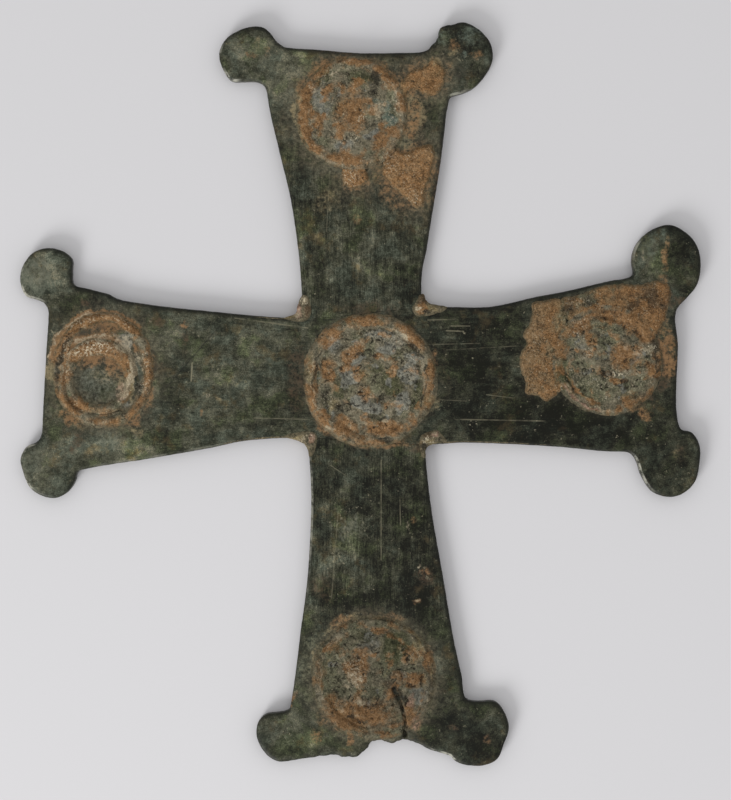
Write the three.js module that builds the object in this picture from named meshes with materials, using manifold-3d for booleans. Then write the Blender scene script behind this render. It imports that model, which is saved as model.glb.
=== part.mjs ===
// A flat cast cross of two bars, half-lapped and soldered at the crossing.
// Units are millimetres. The cross lies on its back: +Z is the front, +Y the top arm,
// +X the right arm, and the origin is the crossing's centre on the back face.
import * as THREE from "three";
import { mergeVertices } from "three/addons/utils/BufferGeometryUtils.js";
import Module from "manifold-3d";

const wasm = await Module();
wasm.setup();

// Driving dimensions
const PLATE = 4.0; // thickness of both bars
const LAP_AT = 2.0; // height of the lap, from the back
const LAP_FILM = 0.2; // solder between the laps
const SIDE_GAP = 0.3; // between a lap's shoulders and the bar that lies in it
const SEAT_GAP = 0.3; // between two deposits, and between a solder run and a bar's side
const LEAST_RING = 1.6; // least width of the left mark's inner ring
const EDGE = 0.7; // worn round on every edge
const ROOT = 18.0; // where an arm begins, from the crossing's centre
const TOP_REACH = 98.0; // from the crossing's centre to the top arm's end
const LEFT_REACH = 96.5;
const BOTTOM_REACH = 113.0;
const RIGHT_REACH = 93.0;
const CURVE_STEP = 1.4; // longest chord of an outline
const CURVE_PARTS = 5; // most chords between two points of an outline
const RIM_STEPS = 40; // steps round a rim
const BED_STEPS = 36; // steps round a bed
const CRUST_STEPS = 18; // steps along a crust
const RUN_STEPS = [20, 12]; // steps round and down a solder run
const CLEAR_STEPS = 24; // steps of the round that keeps a solder run off a rim
const WANDER = 0.3; // how far a deposit's edge strays from its true round

// Each arm is drawn along its own axis. "low" is the side on the right hand when
// looking outwards from the crossing, and "high" the side on the left hand.
// root and neck are half widths at the crossing and where the lobe begins, and rise
// says how far, from 0 to 1, the edge has gone from root to neck at a share of its way.
// A lobe's centre is set back from the arm's reach and lies out beyond the neck, and
// its form gives angles from outwards, anticlockwise, with shares of its radius.
// end gives the end edge from low to high: a share of its way, and how far it stands out.
const ARMS = {
  top: {
    turn: 90,
    reach: TOP_REACH,
    low: {
      root: 16.6,
      neck: 25.5,
      rise: [[0.2, 0], [0.31, 0.16], [0.46, 0.34], [0.71, 0.64], [0.83, 0.75], [0.96, 0.88]],
      lobe: {
        setback: 1.7,
        out: 4.0,
        radius: 9.3,
        form: [
          [-199, 1.34], [-188, 1.19], [-167, 1.04], [-136, 0.89], [-96, 0.9], [-64, 0.94],
          [-29, 1.0], [2, 1.13], [23, 1.13], [40, 1.25], [52, 1.09], [69, 1.11],
        ],
      },
    },
    high: {
      root: 19.1,
      neck: 30.2,
      rise: [[0.12, 0.03], [0.3, 0.13], [0.52, 0.34], [0.7, 0.61], [0.88, 0.88]],
      lobe: {
        setback: 0.8,
        out: 5.9,
        radius: 8.3,
        form: [
          [-79, 1.4], [-67, 1.19], [-49, 1.16], [-31, 1.14], [-8, 1.0], [26, 0.89], [59, 0.93],
          [90, 0.98], [118, 0.99], [150, 1.08], [176, 0.97], [202, 1.06], [210, 1.31],
        ],
      },
    },
    end: [[0.05, 0.2], [0.26, -0.4], [0.52, -0.4], [0.76, 0.5], [0.96, 1.1]],
  },
  left: {
    turn: 180,
    reach: LEFT_REACH,
    low: {
      root: 18.0,
      neck: 27.7,
      rise: [[0.43, 0.22], [0.69, 0.43], [0.815, 0.6], [0.845, 0.72], [0.935, 0.9]],
      lobe: {
        setback: 0.5,
        out: 3.5,
        radius: 8.0,
        form: [
          [-201, 1.08], [-171, 0.96], [-149, 1.09], [-124, 1.04], [-93, 0.98], [-58, 0.95],
          [-18, 0.95], [15, 1.03], [46, 1.13], [67, 1.03], [84, 1.08],
        ],
      },
    },
    high: {
      root: 17.9,
      neck: 27.5,
      rise: [[0.27, 0.1], [0.42, 0.32], [0.7, 0.67], [0.93, 0.93]],
      lobe: {
        setback: 1.3,
        out: 0.1,
        radius: 8.5,
        form: [
          [-67, 1.09], [-45, 1.15], [-21, 1.09], [2, 0.94], [42, 0.93], [75, 0.95], [102, 1.01],
          [129, 1.0], [157, 0.98], [176, 0.99],
        ],
      },
    },
    end: [[0.05, -0.9], [0.11, -1.0], [0.34, -0.4], [0.59, 0.2], [0.81, 0.7], [0.95, 1.1]],
  },
  bottom: {
    turn: 270,
    reach: BOTTOM_REACH,
    low: {
      root: 17.5,
      neck: 23.2,
      rise: [[0.23, -0.16], [0.52, 0.05], [0.69, 0.37], [0.86, 0.67], [0.96, 0.89], [0.99, 1]],
      lobe: {
        setback: 5.3,
        out: 2.4,
        radius: 7.5,
        form: [
          [-178, 0.97], [-144, 1.08], [-117, 1.07], [-85, 0.96], [-41, 0.92], [-7, 0.99],
          [31, 1.08],
        ],
      },
    },
    high: {
      root: 17.4,
      neck: 29.9,
      rise: [[0.24, 0.14], [0.54, 0.46], [0.78, 0.72], [0.9, 0.89], [0.99, 1]],
      lobe: {
        setback: 6.5,
        out: 4.5,
        radius: 9.3,
        form: [
          [-45, 1.24], [-31, 1.18], [2, 1.06], [31, 1.0], [64, 0.82], [100, 0.91], [132, 1.0],
          [155, 1.09], [187, 1.01],
        ],
      },
    },
    // The ragged break where the tang was
    end: [
      [0.03, 1.4], [0.24, 0.3], [0.365, 0.9], [0.41, 0.1], [0.455, -2.2], [0.47, -3.5],
      [0.545, -4.2], [0.595, -3.3], [0.685, -4.5], [0.77, -3.5], [0.845, -1.5], [0.91, -0.6],
      [0.98, 0.6],
    ],
  },
  right: {
    turn: 0,
    reach: RIGHT_REACH,
    low: {
      root: 19.9,
      neck: 22.8,
      rise: [[0.18, -0.17], [0.62, 0.24], [0.85, 0.72], [0.97, 0.9]],
      lobe: {
        setback: 2.5,
        out: 2.4,
        radius: 10.0,
        form: [
          [-184, 0.96], [-152, 0.89], [-117, 1.0], [-90, 1.05], [-66, 1.05], [-37, 1.01],
          [-5, 0.95], [27, 1.07], [51, 1.14], [68, 1.06],
        ],
      },
    },
    high: {
      root: 21.3,
      neck: 30.8,
      rise: [[0.13, 0], [0.31, 0.01], [0.53, 0.32], [0.69, 0.52], [0.89, 0.83], [0.96, 0.9]],
      lobe: {
        setback: 2.9,
        out: 4.6,
        radius: 10.4,
        form: [
          [-77, 1.42], [-62, 1.24], [-41, 1.14], [-13, 1.01], [23, 0.97], [52, 0.97],
          [84, 1.02], [117, 0.97], [152, 0.98], [180, 1.0], [203, 1.05],
        ],
      },
    },
    end: [[0.12, 0.2], [0.32, 0], [0.7, 0.5], [0.92, -0.3]],
  },
};

// The round marks that lost bosses left: a rim ring and what lies inside it.
// along and across place a mark's centre on its arm, in the arm's own axes. A rim has
// its outer radius, its width and its height, a bed fills the rim to its own height,
// and the seed picks how a rim wanders.
const MARKS = {
  centre: {
    arm: "right", along: 1.0, across: -0.6,
    radius: 20.2, width: 4.2, rim: 1.1, bed: 0.9, seed: 1.0,
  },
  top: {
    arm: "top", along: TOP_REACH - 18.6, across: 4.4,
    radius: 17.0, width: 4.0, rim: 1.0, bed: 0.9, seed: 79.4,
  },
  left: {
    arm: "left", along: LEFT_REACH - 17.5, across: -2.3,
    radius: 16.4, width: 3.6, rim: 0.9, bed: 1.2, seed: 79.0,
  },
  bottom: {
    arm: "bottom", along: BOTTOM_REACH - 23.0, across: 2.2,
    radius: 18.8, width: 4.6, rim: 0.8, bed: 0.9, seed: 90.0,
  },
  right: {
    arm: "right", along: RIGHT_REACH - 20.7, across: 5.2,
    radius: 16.5, width: 3.6, rim: 1.0, bed: 1.0, seed: 72.3,
  },
};
const LEFT_RIM_OVAL = 0.065; // the left rim is taller than wide by this share, each way

// How uneven each deposit is, as a share of its own size
const ROUGH = { rimWidth: 0.18, rimHeight: 0.2, bedHeight: 0.25, crustWidth: 0.15 };
const CRUST_FULL = 1.6; // a crust has its full height before it has its full width

// The left mark's inner ring: its centre and its hole's centre from the rim's centre
const INNER_RING = { centre: [-1.0, -1.7], radius: 11.3, holeCentre: [-1.4, -3.0], hole: 7.1 };

// Thick crusts banked against a mark's rim, as part turns of a ring about its centre
const CRUSTS = {
  right_arm: { mark: "right", from: 114, to: 216, width: 10.0, height: 1.4, blunt: 0.35 },
  right_top: { mark: "right", from: 34, to: 108, width: 6.0, height: 1.0, blunt: 0.4 },
  top_shoulder: { mark: "top", from: -2, to: 52, width: 10.8, height: 1.2, blunt: 0.7 },
  top_foot: { mark: "top", from: -73, to: -23, width: 15.4, height: 1.3, blunt: 0.7 },
  top_middle: { mark: "top", from: -102, to: -78, width: 5.4, height: 1.0, blunt: 0.6 },
};

// Solder run into the inner corners: half its width and depth, how far its middle lies
// from the corner, and how far it stands above the front
const RUNS = {
  upper_left: { arms: ["left", "low", "top", "high"], half: [2.8, 4.4], off: [0.2, 2.2], stand: 0.8 },
  upper_right: { arms: ["right", "high", "top", "low"], half: [3.6, 2.8], off: [1.2, 0.2], stand: 0.8 },
  lower_left: { arms: ["left", "high", "bottom", "low"], half: [3.6, 2.6], off: [-0.8, 0], stand: 0.7 },
  lower_right: { arms: ["right", "low", "bottom", "high"], half: [3.6, 2.5], off: [0.8, 0], stand: 0.7 },
};
const RUN_FOOT = 0.4; // how far a solder run stays above the back face

// Finishes
const BRONZE = { color: 0x35362c, roughness: 0.62, metalness: 0.7 };
const SOLDER = { color: 0x7d6c52, roughness: 0.8, metalness: 0.2 };
const RIM = { color: 0x7a6647, roughness: 0.9, metalness: 0.0 };
const BED = { color: 0x5e5b4b, roughness: 0.95, metalness: 0.0 };
const CRUST = { color: 0x80684a, roughness: 0.95, metalness: 0.0 };

const rad = THREE.MathUtils.degToRad;

/** Turn a point of an arm's own axes (out, across) into the cross's X and Y. */
function onArm(arm, along, across) {
  const turn = rad(ARMS[arm].turn);
  const x = along * Math.cos(turn) - across * Math.sin(turn);
  const y = along * Math.sin(turn) + across * Math.cos(turn);
  return new THREE.Vector2(x, y);
}

/** The points of one lobe in its arm's own axes, as [along, across] pairs. */
function lobePoints(arm, side) {
  const { reach } = ARMS[arm];
  const { neck, lobe } = ARMS[arm][side];
  const sign = side === "high" ? 1 : -1;
  const centre = [reach - lobe.setback, sign * (neck + lobe.out)];
  return lobe.form.map(([angle, share]) => {
    const out = lobe.radius * share;
    return [centre[0] + out * Math.cos(rad(angle)), centre[1] + out * Math.sin(rad(angle))];
  });
}

/** One long edge of an arm, from the crossing towards its lobe. */
function flankPoints(arm, side, neckAlong) {
  const { root, neck, rise } = ARMS[arm][side];
  const sign = side === "high" ? 1 : -1;
  const stops = [[0, 0], ...rise];
  return stops.map(([share, risen]) => {
    const along = ROOT + (neckAlong - ROOT) * share;
    return [along, sign * (root + (neck - root) * risen)];
  });
}

/** An arm's outline from its low root round to its high root, anticlockwise. */
function armPoints(arm) {
  const lowLobe = lobePoints(arm, "low");
  const highLobe = lobePoints(arm, "high");
  const lowFlank = flankPoints(arm, "low", lowLobe[0][0]);
  const highFlank = flankPoints(arm, "high", highLobe.at(-1)[0]);
  const [from, to] = [lowLobe.at(-1)[1], highLobe[0][1]];
  const end = ARMS[arm].end.map(([share, stand]) => [
    ARMS[arm].reach + stand,
    from + (to - from) * share,
  ]);
  const points = [...lowFlank, ...lowLobe, ...end, ...highLobe, ...highFlank.reverse()];
  return points.map(([along, across]) => onArm(arm, along, across));
}

/** A closed smooth outline through points, in chords no longer than CURVE_STEP. */
function smoothOutline(points) {
  const places = points.map((p) => new THREE.Vector3(p.x, p.y, 0));
  const curve = new THREE.CatmullRomCurve3(places, true, "centripetal");
  const outline = [];
  places.forEach((place, i) => {
    const length = place.distanceTo(places[(i + 1) % places.length]);
    const parts = Math.min(CURVE_PARTS, Math.max(1, Math.ceil(length / CURVE_STEP)));
    for (let part = 0; part < parts; part += 1) {
      const at = curve.getPoint((i + part / parts) / places.length);
      outline.push(new THREE.Vector2(at.x, at.y));
    }
  });
  return outline;
}

const OUTLINES = {
  cross_bar: smoothOutline([...armPoints("right"), ...armPoints("left")]),
  upright_bar: smoothOutline([...armPoints("top"), ...armPoints("bottom")]),
};

/** The outline moved outwards by a distance, or inwards where it is negative. */
function grown(outline, distance) {
  return outline.map((point, i) => {
    const before = outline.at(i - 1);
    const after = outline[(i + 1) % outline.length];
    const along = after.clone().sub(before).normalize();
    return new THREE.Vector2(point.x + along.y * distance, point.y - along.x * distance);
  });
}

/** Merge shared corners and drop triangles that have closed up. */
function closedGeometry(geometry) {
  geometry.deleteAttribute("normal");
  geometry.deleteAttribute("uv");
  const merged = mergeVertices(geometry, 1e-4);
  const index = merged.getIndex().array;
  const kept = [];
  for (let i = 0; i < index.length; i += 3) {
    const [a, b, c] = [index[i], index[i + 1], index[i + 2]];
    if (a !== b && b !== c && c !== a) kept.push(a, b, c);
  }
  merged.setIndex(kept);
  return merged;
}

/** A manifold solid for cutting and joining. */
function toSolid(geometry) {
  const closed = closedGeometry(geometry);
  const vertProperties = new Float32Array(closed.getAttribute("position").array);
  const triVerts = new Uint32Array(closed.getIndex().array);
  return new wasm.Manifold(new wasm.Mesh({ numProp: 3, vertProperties, triVerts }));
}

/** The geometry of a manifold solid. */
function toGeometry(solid) {
  const mesh = solid.getMesh();
  const geometry = new THREE.BufferGeometry();
  geometry.setAttribute("position", new THREE.BufferAttribute(mesh.vertProperties, 3));
  geometry.setIndex(new THREE.BufferAttribute(mesh.triVerts, 1));
  return geometry;
}

/** An outline extruded between two heights, with its edges rounded off by edge. */
function slab(outline, from, to, edge = 0) {
  const shape = new THREE.Shape(outline);
  const geometry = new THREE.ExtrudeGeometry(shape, {
    depth: to - from - 2 * edge,
    steps: 1,
    bevelEnabled: edge > 0,
    bevelThickness: edge,
    bevelSize: edge,
    bevelOffset: -edge,
    bevelSegments: 1,
  });
  geometry.translate(0, 0, from + edge);
  return toSolid(geometry);
}

/** One bar, with the notch that the other bar lies in cut away. */
function bar(name, other, notchFrom, notchTo) {
  const whole = slab(OUTLINES[name], 0, PLATE, EDGE);
  const notch = slab(grown(OUTLINES[other], SIDE_GAP), notchFrom, notchTo);
  return toGeometry(whole.subtract(notch));
}

/** The thin solder between the laps, just inside both bars. */
function lapSolder(from, to) {
  const one = slab(grown(OUTLINES.cross_bar, -2 * SIDE_GAP), from, to);
  const two = slab(grown(OUTLINES.upright_bar, -2 * SIDE_GAP), from - PLATE, to + PLATE);
  return one.intersect(two);
}

/** A low deposit round a centre: a section swept from an inner to an outer edge. */
function deposit({ centre, from = 0, to = 360, steps, section, inner, outer, height }) {
  const points = section.map(([share, level]) => new THREE.Vector2(1 + share, level));
  const lathe = new THREE.LatheGeometry(points, steps, rad(from), rad(to - from));
  const position = lathe.getAttribute("position");
  const columns = section.length;
  for (let i = 0; i < position.count; i += 1) {
    const [share, level] = section[i % columns];
    const step = Math.floor(i / columns);
    const angle = from + ((to - from) * (to - from === 360 ? step % steps : step)) / steps;
    const out = THREE.MathUtils.lerp(inner(angle), outer(angle), share);
    const x = centre.x + out * Math.cos(rad(angle));
    const y = centre.y + out * Math.sin(rad(angle));
    position.setXYZ(i, x, y, PLATE + level * height(angle, share));
  }
  return closedGeometry(lathe);
}

/** A slow unevenness round a deposit, from -1 to 1, different for each seed. */
function uneven(angle, seed) {
  const a = rad(angle);
  return (Math.sin(3 * a + seed) + Math.sin(5 * a + 2.3 * seed) + Math.sin(8 * a + 4.1 * seed)) / 3;
}

// Sections of the deposits, each point a share of the width and of the height
const RIM_SECTION = [[0, 0], [1, 0], [0.86, 0.7], [0.5, 1], [0.14, 0.75], [0, 0]];
const BED_SECTION = [[0, 0], [1, 0], [0.85, 0.9], [0.6, 0.75], [0.3, 1], [0, 0.8], [0, 0]];
const BANK_SECTION = [[0, 0], [1, 0], [0.8, 0.6], [0.45, 1], [0.1, 0.7], [0, 0]];

/** The radius functions of one mark: its rim's outer and inner edge at an angle. */
function rimEdges(name) {
  const mark = MARKS[name];
  const oval = name === "left" ? LEFT_RIM_OVAL : 0;
  const outer = (angle) =>
    mark.radius * (1 - oval * Math.cos(rad(2 * angle))) + WANDER * uneven(angle, mark.seed);
  const inner = (angle) =>
    outer(angle) - mark.width * (1 + ROUGH.rimWidth * uneven(angle, mark.seed + 2));
  return { outer, inner };
}

/** The rim ring of one mark. */
function rim(name) {
  const mark = MARKS[name];
  return deposit({
    centre: onArm(mark.arm, mark.along, mark.across),
    steps: RIM_STEPS,
    section: RIM_SECTION,
    ...rimEdges(name),
    height: (angle) => mark.rim * (1 + ROUGH.rimHeight * uneven(angle, mark.across)),
  });
}

/** The bed inside one mark's rim, lumpy on top. */
function bed(name) {
  const mark = MARKS[name];
  const { inner: rimInner } = rimEdges(name);
  return deposit({
    centre: onArm(mark.arm, mark.along, mark.across),
    steps: BED_STEPS,
    section: BED_SECTION,
    inner: () => 0,
    outer: (angle) => rimInner(angle) - SEAT_GAP,
    height: (angle, share) =>
      mark.bed * (1 + ROUGH.bedHeight * share * uneven(angle, 9 * share)),
  });
}

/** How far a circle about another centre reaches from the mark's centre at an angle. */
function offCentre([x, y], radius) {
  return (angle) => x * Math.cos(rad(angle)) + y * Math.sin(rad(angle)) + radius;
}

/** The inner ring of the left mark, thicker above its hole than below. */
function innerRing() {
  const mark = MARKS.left;
  const { inner: rimInner } = rimEdges("left");
  const round = offCentre(INNER_RING.centre, INNER_RING.radius);
  const hole = offCentre(INNER_RING.holeCentre, INNER_RING.hole);
  const outer = (angle) =>
    Math.min(round(angle) + WANDER * uneven(angle, 1), rimInner(angle) - SEAT_GAP);
  return deposit({
    centre: onArm(mark.arm, mark.along, mark.across),
    steps: BED_STEPS,
    section: RIM_SECTION,
    inner: (angle) => Math.min(hole(angle), outer(angle) - LEAST_RING),
    outer,
    height: (angle) => mark.bed * (1 + ROUGH.rimHeight * uneven(angle, 4)),
  });
}

/** A crust banked against a rim, widest at its middle and run out at both ends. */
function bank(name) {
  const { mark: markName, from, to, width, height, blunt } = CRUSTS[name];
  const mark = MARKS[markName];
  const { outer: rimOuter } = rimEdges(markName);
  const turned = (angle) => (Math.PI * (angle - from)) / (to - from);
  const swell = (angle) => Math.max(0, Math.sin(turned(angle))) ** blunt;
  const spread = (angle) => width * swell(angle) * (1 + ROUGH.crustWidth * uneven(angle, width));
  const inner = (angle) => rimOuter(angle) + SEAT_GAP;
  return deposit({
    centre: onArm(mark.arm, mark.along, mark.across),
    from,
    to,
    steps: CRUST_STEPS,
    section: BANK_SECTION,
    inner,
    outer: (angle) => inner(angle) + spread(angle),
    height: (angle) => height * Math.min(1, CRUST_FULL * swell(angle)),
  });
}

/** Where two straight edges cross, each given by two points. */
function meeting(a, b, c, d) {
  const ab = b.clone().sub(a);
  const cd = d.clone().sub(c);
  const share = c.clone().sub(a).cross(cd) / ab.cross(cd);
  return a.clone().addScaledVector(ab, share);
}

/** The point at the root of one side of an arm. */
function rootPoint(arm, side) {
  const sign = side === "high" ? 1 : -1;
  return onArm(arm, ROOT, sign * ARMS[arm][side].root);
}

/** The inner corner between two arms' sides. */
function innerCorner([armA, sideA, armB, sideB]) {
  const outA = onArm(armA, 1, 0);
  const outB = onArm(armB, 1, 0);
  const a = rootPoint(armA, sideA);
  const b = rootPoint(armB, sideB);
  return meeting(a, a.clone().add(outA), b, b.clone().add(outB));
}

/** What a solder run has to keep clear of: both bars and the centre mark. */
function clearOfRuns() {
  const mark = MARKS.centre;
  const centre = onArm(mark.arm, mark.along, mark.across);
  const keepOut = mark.radius + 2 * SEAT_GAP;
  const round = new THREE.Path().absarc(centre.x, centre.y, keepOut, 0, 2 * Math.PI);
  const points = round.getPoints(CLEAR_STEPS).slice(0, -1);
  const bars = Object.values(OUTLINES).map((outline) =>
    slab(grown(outline, SEAT_GAP), -PLATE, PLATE),
  );
  return [...bars, slab(points, -PLATE, 3 * PLATE)];
}

/** A lump of solder in one inner corner, standing a little above the front. */
function solderRun(name) {
  const { arms, half: [halfX, halfY], off, stand } = RUNS[name];
  const corner = innerCorner(arms);
  const top = PLATE + stand;
  const halfZ = (top - RUN_FOOT) / 2;
  const ball = new THREE.SphereGeometry(1, ...RUN_STEPS).rotateX(Math.PI / 2);
  ball.scale(halfX, halfY, halfZ);
  ball.translate(corner.x + off[0], corner.y + off[1], top - halfZ);
  return clearOfRuns().reduce((left, clear) => left.subtract(clear), toSolid(ball));
}

const cross = new THREE.Group();
cross.name = "cross";

/** Add one named piece with its own material. */
function add(name, geometry, finish) {
  const mesh = new THREE.Mesh(geometry, new THREE.MeshStandardMaterial(finish));
  mesh.name = name;
  cross.add(mesh);
}

const [lapBack, lapFront] = [LAP_AT - LAP_FILM / 2, LAP_AT + LAP_FILM / 2];
add("upright_bar", bar("upright_bar", "cross_bar", lapBack, 2 * PLATE), BRONZE);
add("cross_bar", bar("cross_bar", "upright_bar", -PLATE, lapFront), BRONZE);
add("lap_solder", toGeometry(lapSolder(lapBack, lapFront)), SOLDER);
for (const name of Object.keys(RUNS)) {
  add(`corner_solder_${name}`, toGeometry(solderRun(name)), SOLDER);
}
for (const name of Object.keys(MARKS)) {
  add(`rim_solder_${name}`, rim(name), RIM);
}
for (const name of Object.keys(MARKS)) {
  add(`boss_bed_${name}`, name === "left" ? innerRing() : bed(name), BED);
}
for (const name of Object.keys(CRUSTS)) {
  add(`crust_${name}`, bank(name), CRUST);
}

export default cross;
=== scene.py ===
"""Looks of a cast cross: two patinated bars, soldered corners and the marks of lost bosses.

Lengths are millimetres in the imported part's own frame, with +Z out of the front and +Y
along the top arm, and a mesh is brought to metres when it is made.
"""

import logging
import math
from collections.abc import Callable, Sequence
from dataclasses import dataclass
from enum import Enum

import bpy
import numpy as np
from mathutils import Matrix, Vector, geometry
from mathutils.kdtree import KDTree


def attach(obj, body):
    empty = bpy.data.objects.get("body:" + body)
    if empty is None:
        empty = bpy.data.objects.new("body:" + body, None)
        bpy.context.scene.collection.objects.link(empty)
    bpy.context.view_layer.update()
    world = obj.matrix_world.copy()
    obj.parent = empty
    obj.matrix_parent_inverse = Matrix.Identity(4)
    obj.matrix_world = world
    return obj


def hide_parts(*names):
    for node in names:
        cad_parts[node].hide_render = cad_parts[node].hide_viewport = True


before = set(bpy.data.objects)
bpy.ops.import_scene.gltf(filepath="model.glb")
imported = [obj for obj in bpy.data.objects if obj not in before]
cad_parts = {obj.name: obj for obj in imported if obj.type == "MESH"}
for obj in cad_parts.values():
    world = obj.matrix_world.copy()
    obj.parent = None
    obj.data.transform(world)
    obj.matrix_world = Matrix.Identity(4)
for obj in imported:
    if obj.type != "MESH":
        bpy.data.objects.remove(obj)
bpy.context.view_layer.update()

LOG = logging.getLogger("cross")
METRES = 0.001
BODY = "root"

# Levels above the back face: the front, the two laps and a level on each bar's own wall
PLATE = 4.0
LAP_BACK = 1.9
LAP_FRONT = 2.1
UPRIGHT_WALL = 0.7
CROSS_WALL = 3.3

# How far apart points are on an outline: to measure from it, and to draw a deposit
EDGE_STEP = 0.1
LOOP_STEP = 0.4

# How much of a grid's step its points keep clear of an edge
CLEAR_SHARE = 0.55

# Where the outline is jagged: the levels and half widths of the break, and the notch
BREAK_LEVELS = (-101.0, -106.0)
BREAK_HALVES = (17.0, 14.0)
NOTCH = (23.0, 102.0)
NOTCH_REACH = (7.0, 4.0)

Array = np.ndarray
Piece = bpy.types.Object
Material = bpy.types.Material
Colour = tuple[float, float, float]
Place = tuple[float, float]
Row = tuple[float, ...]


class Tone(Enum):
    """What can cover a spot of the surface, and painted shade, sparkle and glints. Each value names a
    mesh attribute.
    """

    RUST = "rust"
    OCHRE = "ochre"
    CREAM = "cream"
    VERDIGRIS = "verdigris"
    MOSS = "moss"
    TEAL = "teal"
    SLATE = "slate"
    PINK = "pink"
    # Dark spots, and painted shade at the foot of flaked plates and steps
    SOOT = "soot"
    PALE = "pale"
    UMBER = "umber"
    # Painted sparkle: a mask of bright flecks that stand in for glints off crystals
    SPARK = "spark"
    # Painted highlight: a mask of edges where a light glint is painted
    GLINT = "glint"


class Slot(Enum):
    """The record's material slots."""

    UPRIGHT = "upright_bronze"
    CROSS_BAR = "cross_bar_bronze"
    SOLDER = "solder"
    RIM = "rim_deposit"
    BED = "bed_deposit"
    CRUST = "crust"


# Numbers over an area


def smoothstep(low: float, high: float, value: Array) -> Array:
    """Ease from 0 at low to 1 at high.

    Args:
        low: Where the result is 0.
        high: Where the result is 1; it may be below low.
        value: The values to ease.

    Returns:
        The eased values.
    """
    share = np.clip((value - low) / (high - low), 0.0, 1.0)
    return share * share * (3.0 - 2.0 * share)


@dataclass(frozen=True)
class Noise:
    """Seeded noise on a square lattice, the same on every run."""

    seed: int

    def _hash(self, column: Array, row: Array, salt: int = 0) -> Array:
        """Scatter lattice places into numbers from 0 to 1.

        Args:
            column: The columns of the places.
            row: Their rows.
            salt: Tells one number of a place from the next.

        Returns:
            The numbers.
        """
        mixed = column.astype(np.uint64) * np.uint64(374761393)
        mixed += row.astype(np.uint64) * np.uint64(668265263)
        mixed += np.uint64(self.seed * 69069 + salt * 362437)
        mixed &= np.uint64(0xFFFFFFFF)
        mixed = (mixed ^ (mixed >> np.uint64(13))) * np.uint64(1274126177)
        mixed &= np.uint64(0xFFFFFFFF)
        mixed ^= mixed >> np.uint64(16)
        return mixed.astype(float) / 0xFFFFFFFF

    def smooth(self, points: Array, size: float) -> Array:
        """Gradient noise from about -1 to 1, whose swells are size across.

        Args:
            points: The places.
            size: How wide a swell is.

        Returns:
            The noise.
        """
        place = points / size
        cell = np.floor(place)
        within = place - cell
        column, row = (cell[:, k].astype(np.int64) for k in (0, 1))
        ease = within**3 * (within * (within * 6 - 15) + 10)
        corners = []
        for right, up in ((0, 0), (1, 0), (0, 1), (1, 1)):
            angle = 2 * math.pi * self._hash(column + right, row + up)
            across = np.cos(angle) * (within[:, 0] - right)
            corners.append(across + np.sin(angle) * (within[:, 1] - up))
        low = corners[0] + ease[:, 0] * (corners[1] - corners[0])
        high = corners[2] + ease[:, 0] * (corners[3] - corners[2])
        return 1.4 * (low + ease[:, 1] * (high - low))

    def fractal(self, points: Array, size: float, octaves: int = 3) -> Array:
        """Layers of smooth noise, each half the size and strength of the last.

        Args:
            points: The places.
            size: How wide the broadest swells are.
            octaves: How many layers there are.

        Returns:
            The noise.
        """
        total = np.zeros(len(points))
        for octave in range(octaves):
            layer = Noise(self.seed + 17 * octave)
            total += layer.smooth(points + 3.7 * octave, size / 2**octave) / 2**octave
        return total / 1.5

    def from_middle(self, points: Array, size: float) -> Array:
        """How far each point is from the middle of its irregular cell, in cell widths.

        Args:
            points: The places.
            size: How wide a cell is.

        Returns:
            The distances.
        """
        place = points / size
        cell = np.floor(place)
        within = place - cell
        column, row = (cell[:, k].astype(np.int64) for k in (0, 1))
        nearest = np.full(len(points), np.inf)
        for right in (-1, 0, 1):
            for up in (-1, 0, 1):
                seed_x = right + self._hash(column + right, row + up, 1)
                seed_y = up + self._hash(column + right, row + up, 2)
                away = np.hypot(seed_x - within[:, 0], seed_y - within[:, 1])
                nearest = np.minimum(nearest, away)
        return nearest

    def warp(self, points: Array, size: float, amount: float) -> Array:
        """Move points about by smooth noise, so that what is drawn on them wanders."""
        moves = [Noise(self.seed + salt).fractal(points, size, 2) for salt in (101, 202)]
        return points + amount * np.stack(moves, axis=1)


@dataclass(frozen=True)
class Patch:
    """An oval spot of one tone, placed from the centre of its mark."""

    tone: Tone
    x: float
    y: float
    half_x: float
    half_y: float
    strength: float = 1.0
    turn: float = 0.0

    def reach(self, points: Array, centre: Array) -> Array:
        """How far out each point is, where 1 is the oval's own line.

        Args:
            points: The places.
            centre: The centre of the mark.

        Returns:
            The reach of each point.
        """
        away = points - centre - (self.x, self.y)
        cosine, sine = math.cos(math.radians(self.turn)), math.sin(math.radians(self.turn))
        along = (away[:, 0] * cosine + away[:, 1] * sine) / self.half_x
        across = (away[:, 1] * cosine - away[:, 0] * sine) / self.half_y
        return np.hypot(along, across)

    def cover(self, points: Array, centre: Array) -> Array:
        """How much the spot covers each point, from 0 to its strength."""
        return self.strength * smoothstep(1.55, 0.45, self.reach(points, centre))


@dataclass(frozen=True)
class Plate(Patch):
    """A spot with a clear outline, left standing by what flaked off round it."""

    rise: float = 0.12

    def cover(self, points: Array, centre: Array) -> Array:
        """How much the plate covers each point, from 0 to its strength."""
        return self.strength * smoothstep(1.2, 0.84, self.reach(points, centre))

    def foot(self, points: Array, centre: Array) -> Array:
        """How close each point is to the foot of the plate's edge, from 0 to 1."""
        reach = self.reach(points, centre)
        return smoothstep(1.36, 1.14, reach) * smoothstep(0.98, 1.1, reach)


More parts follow.
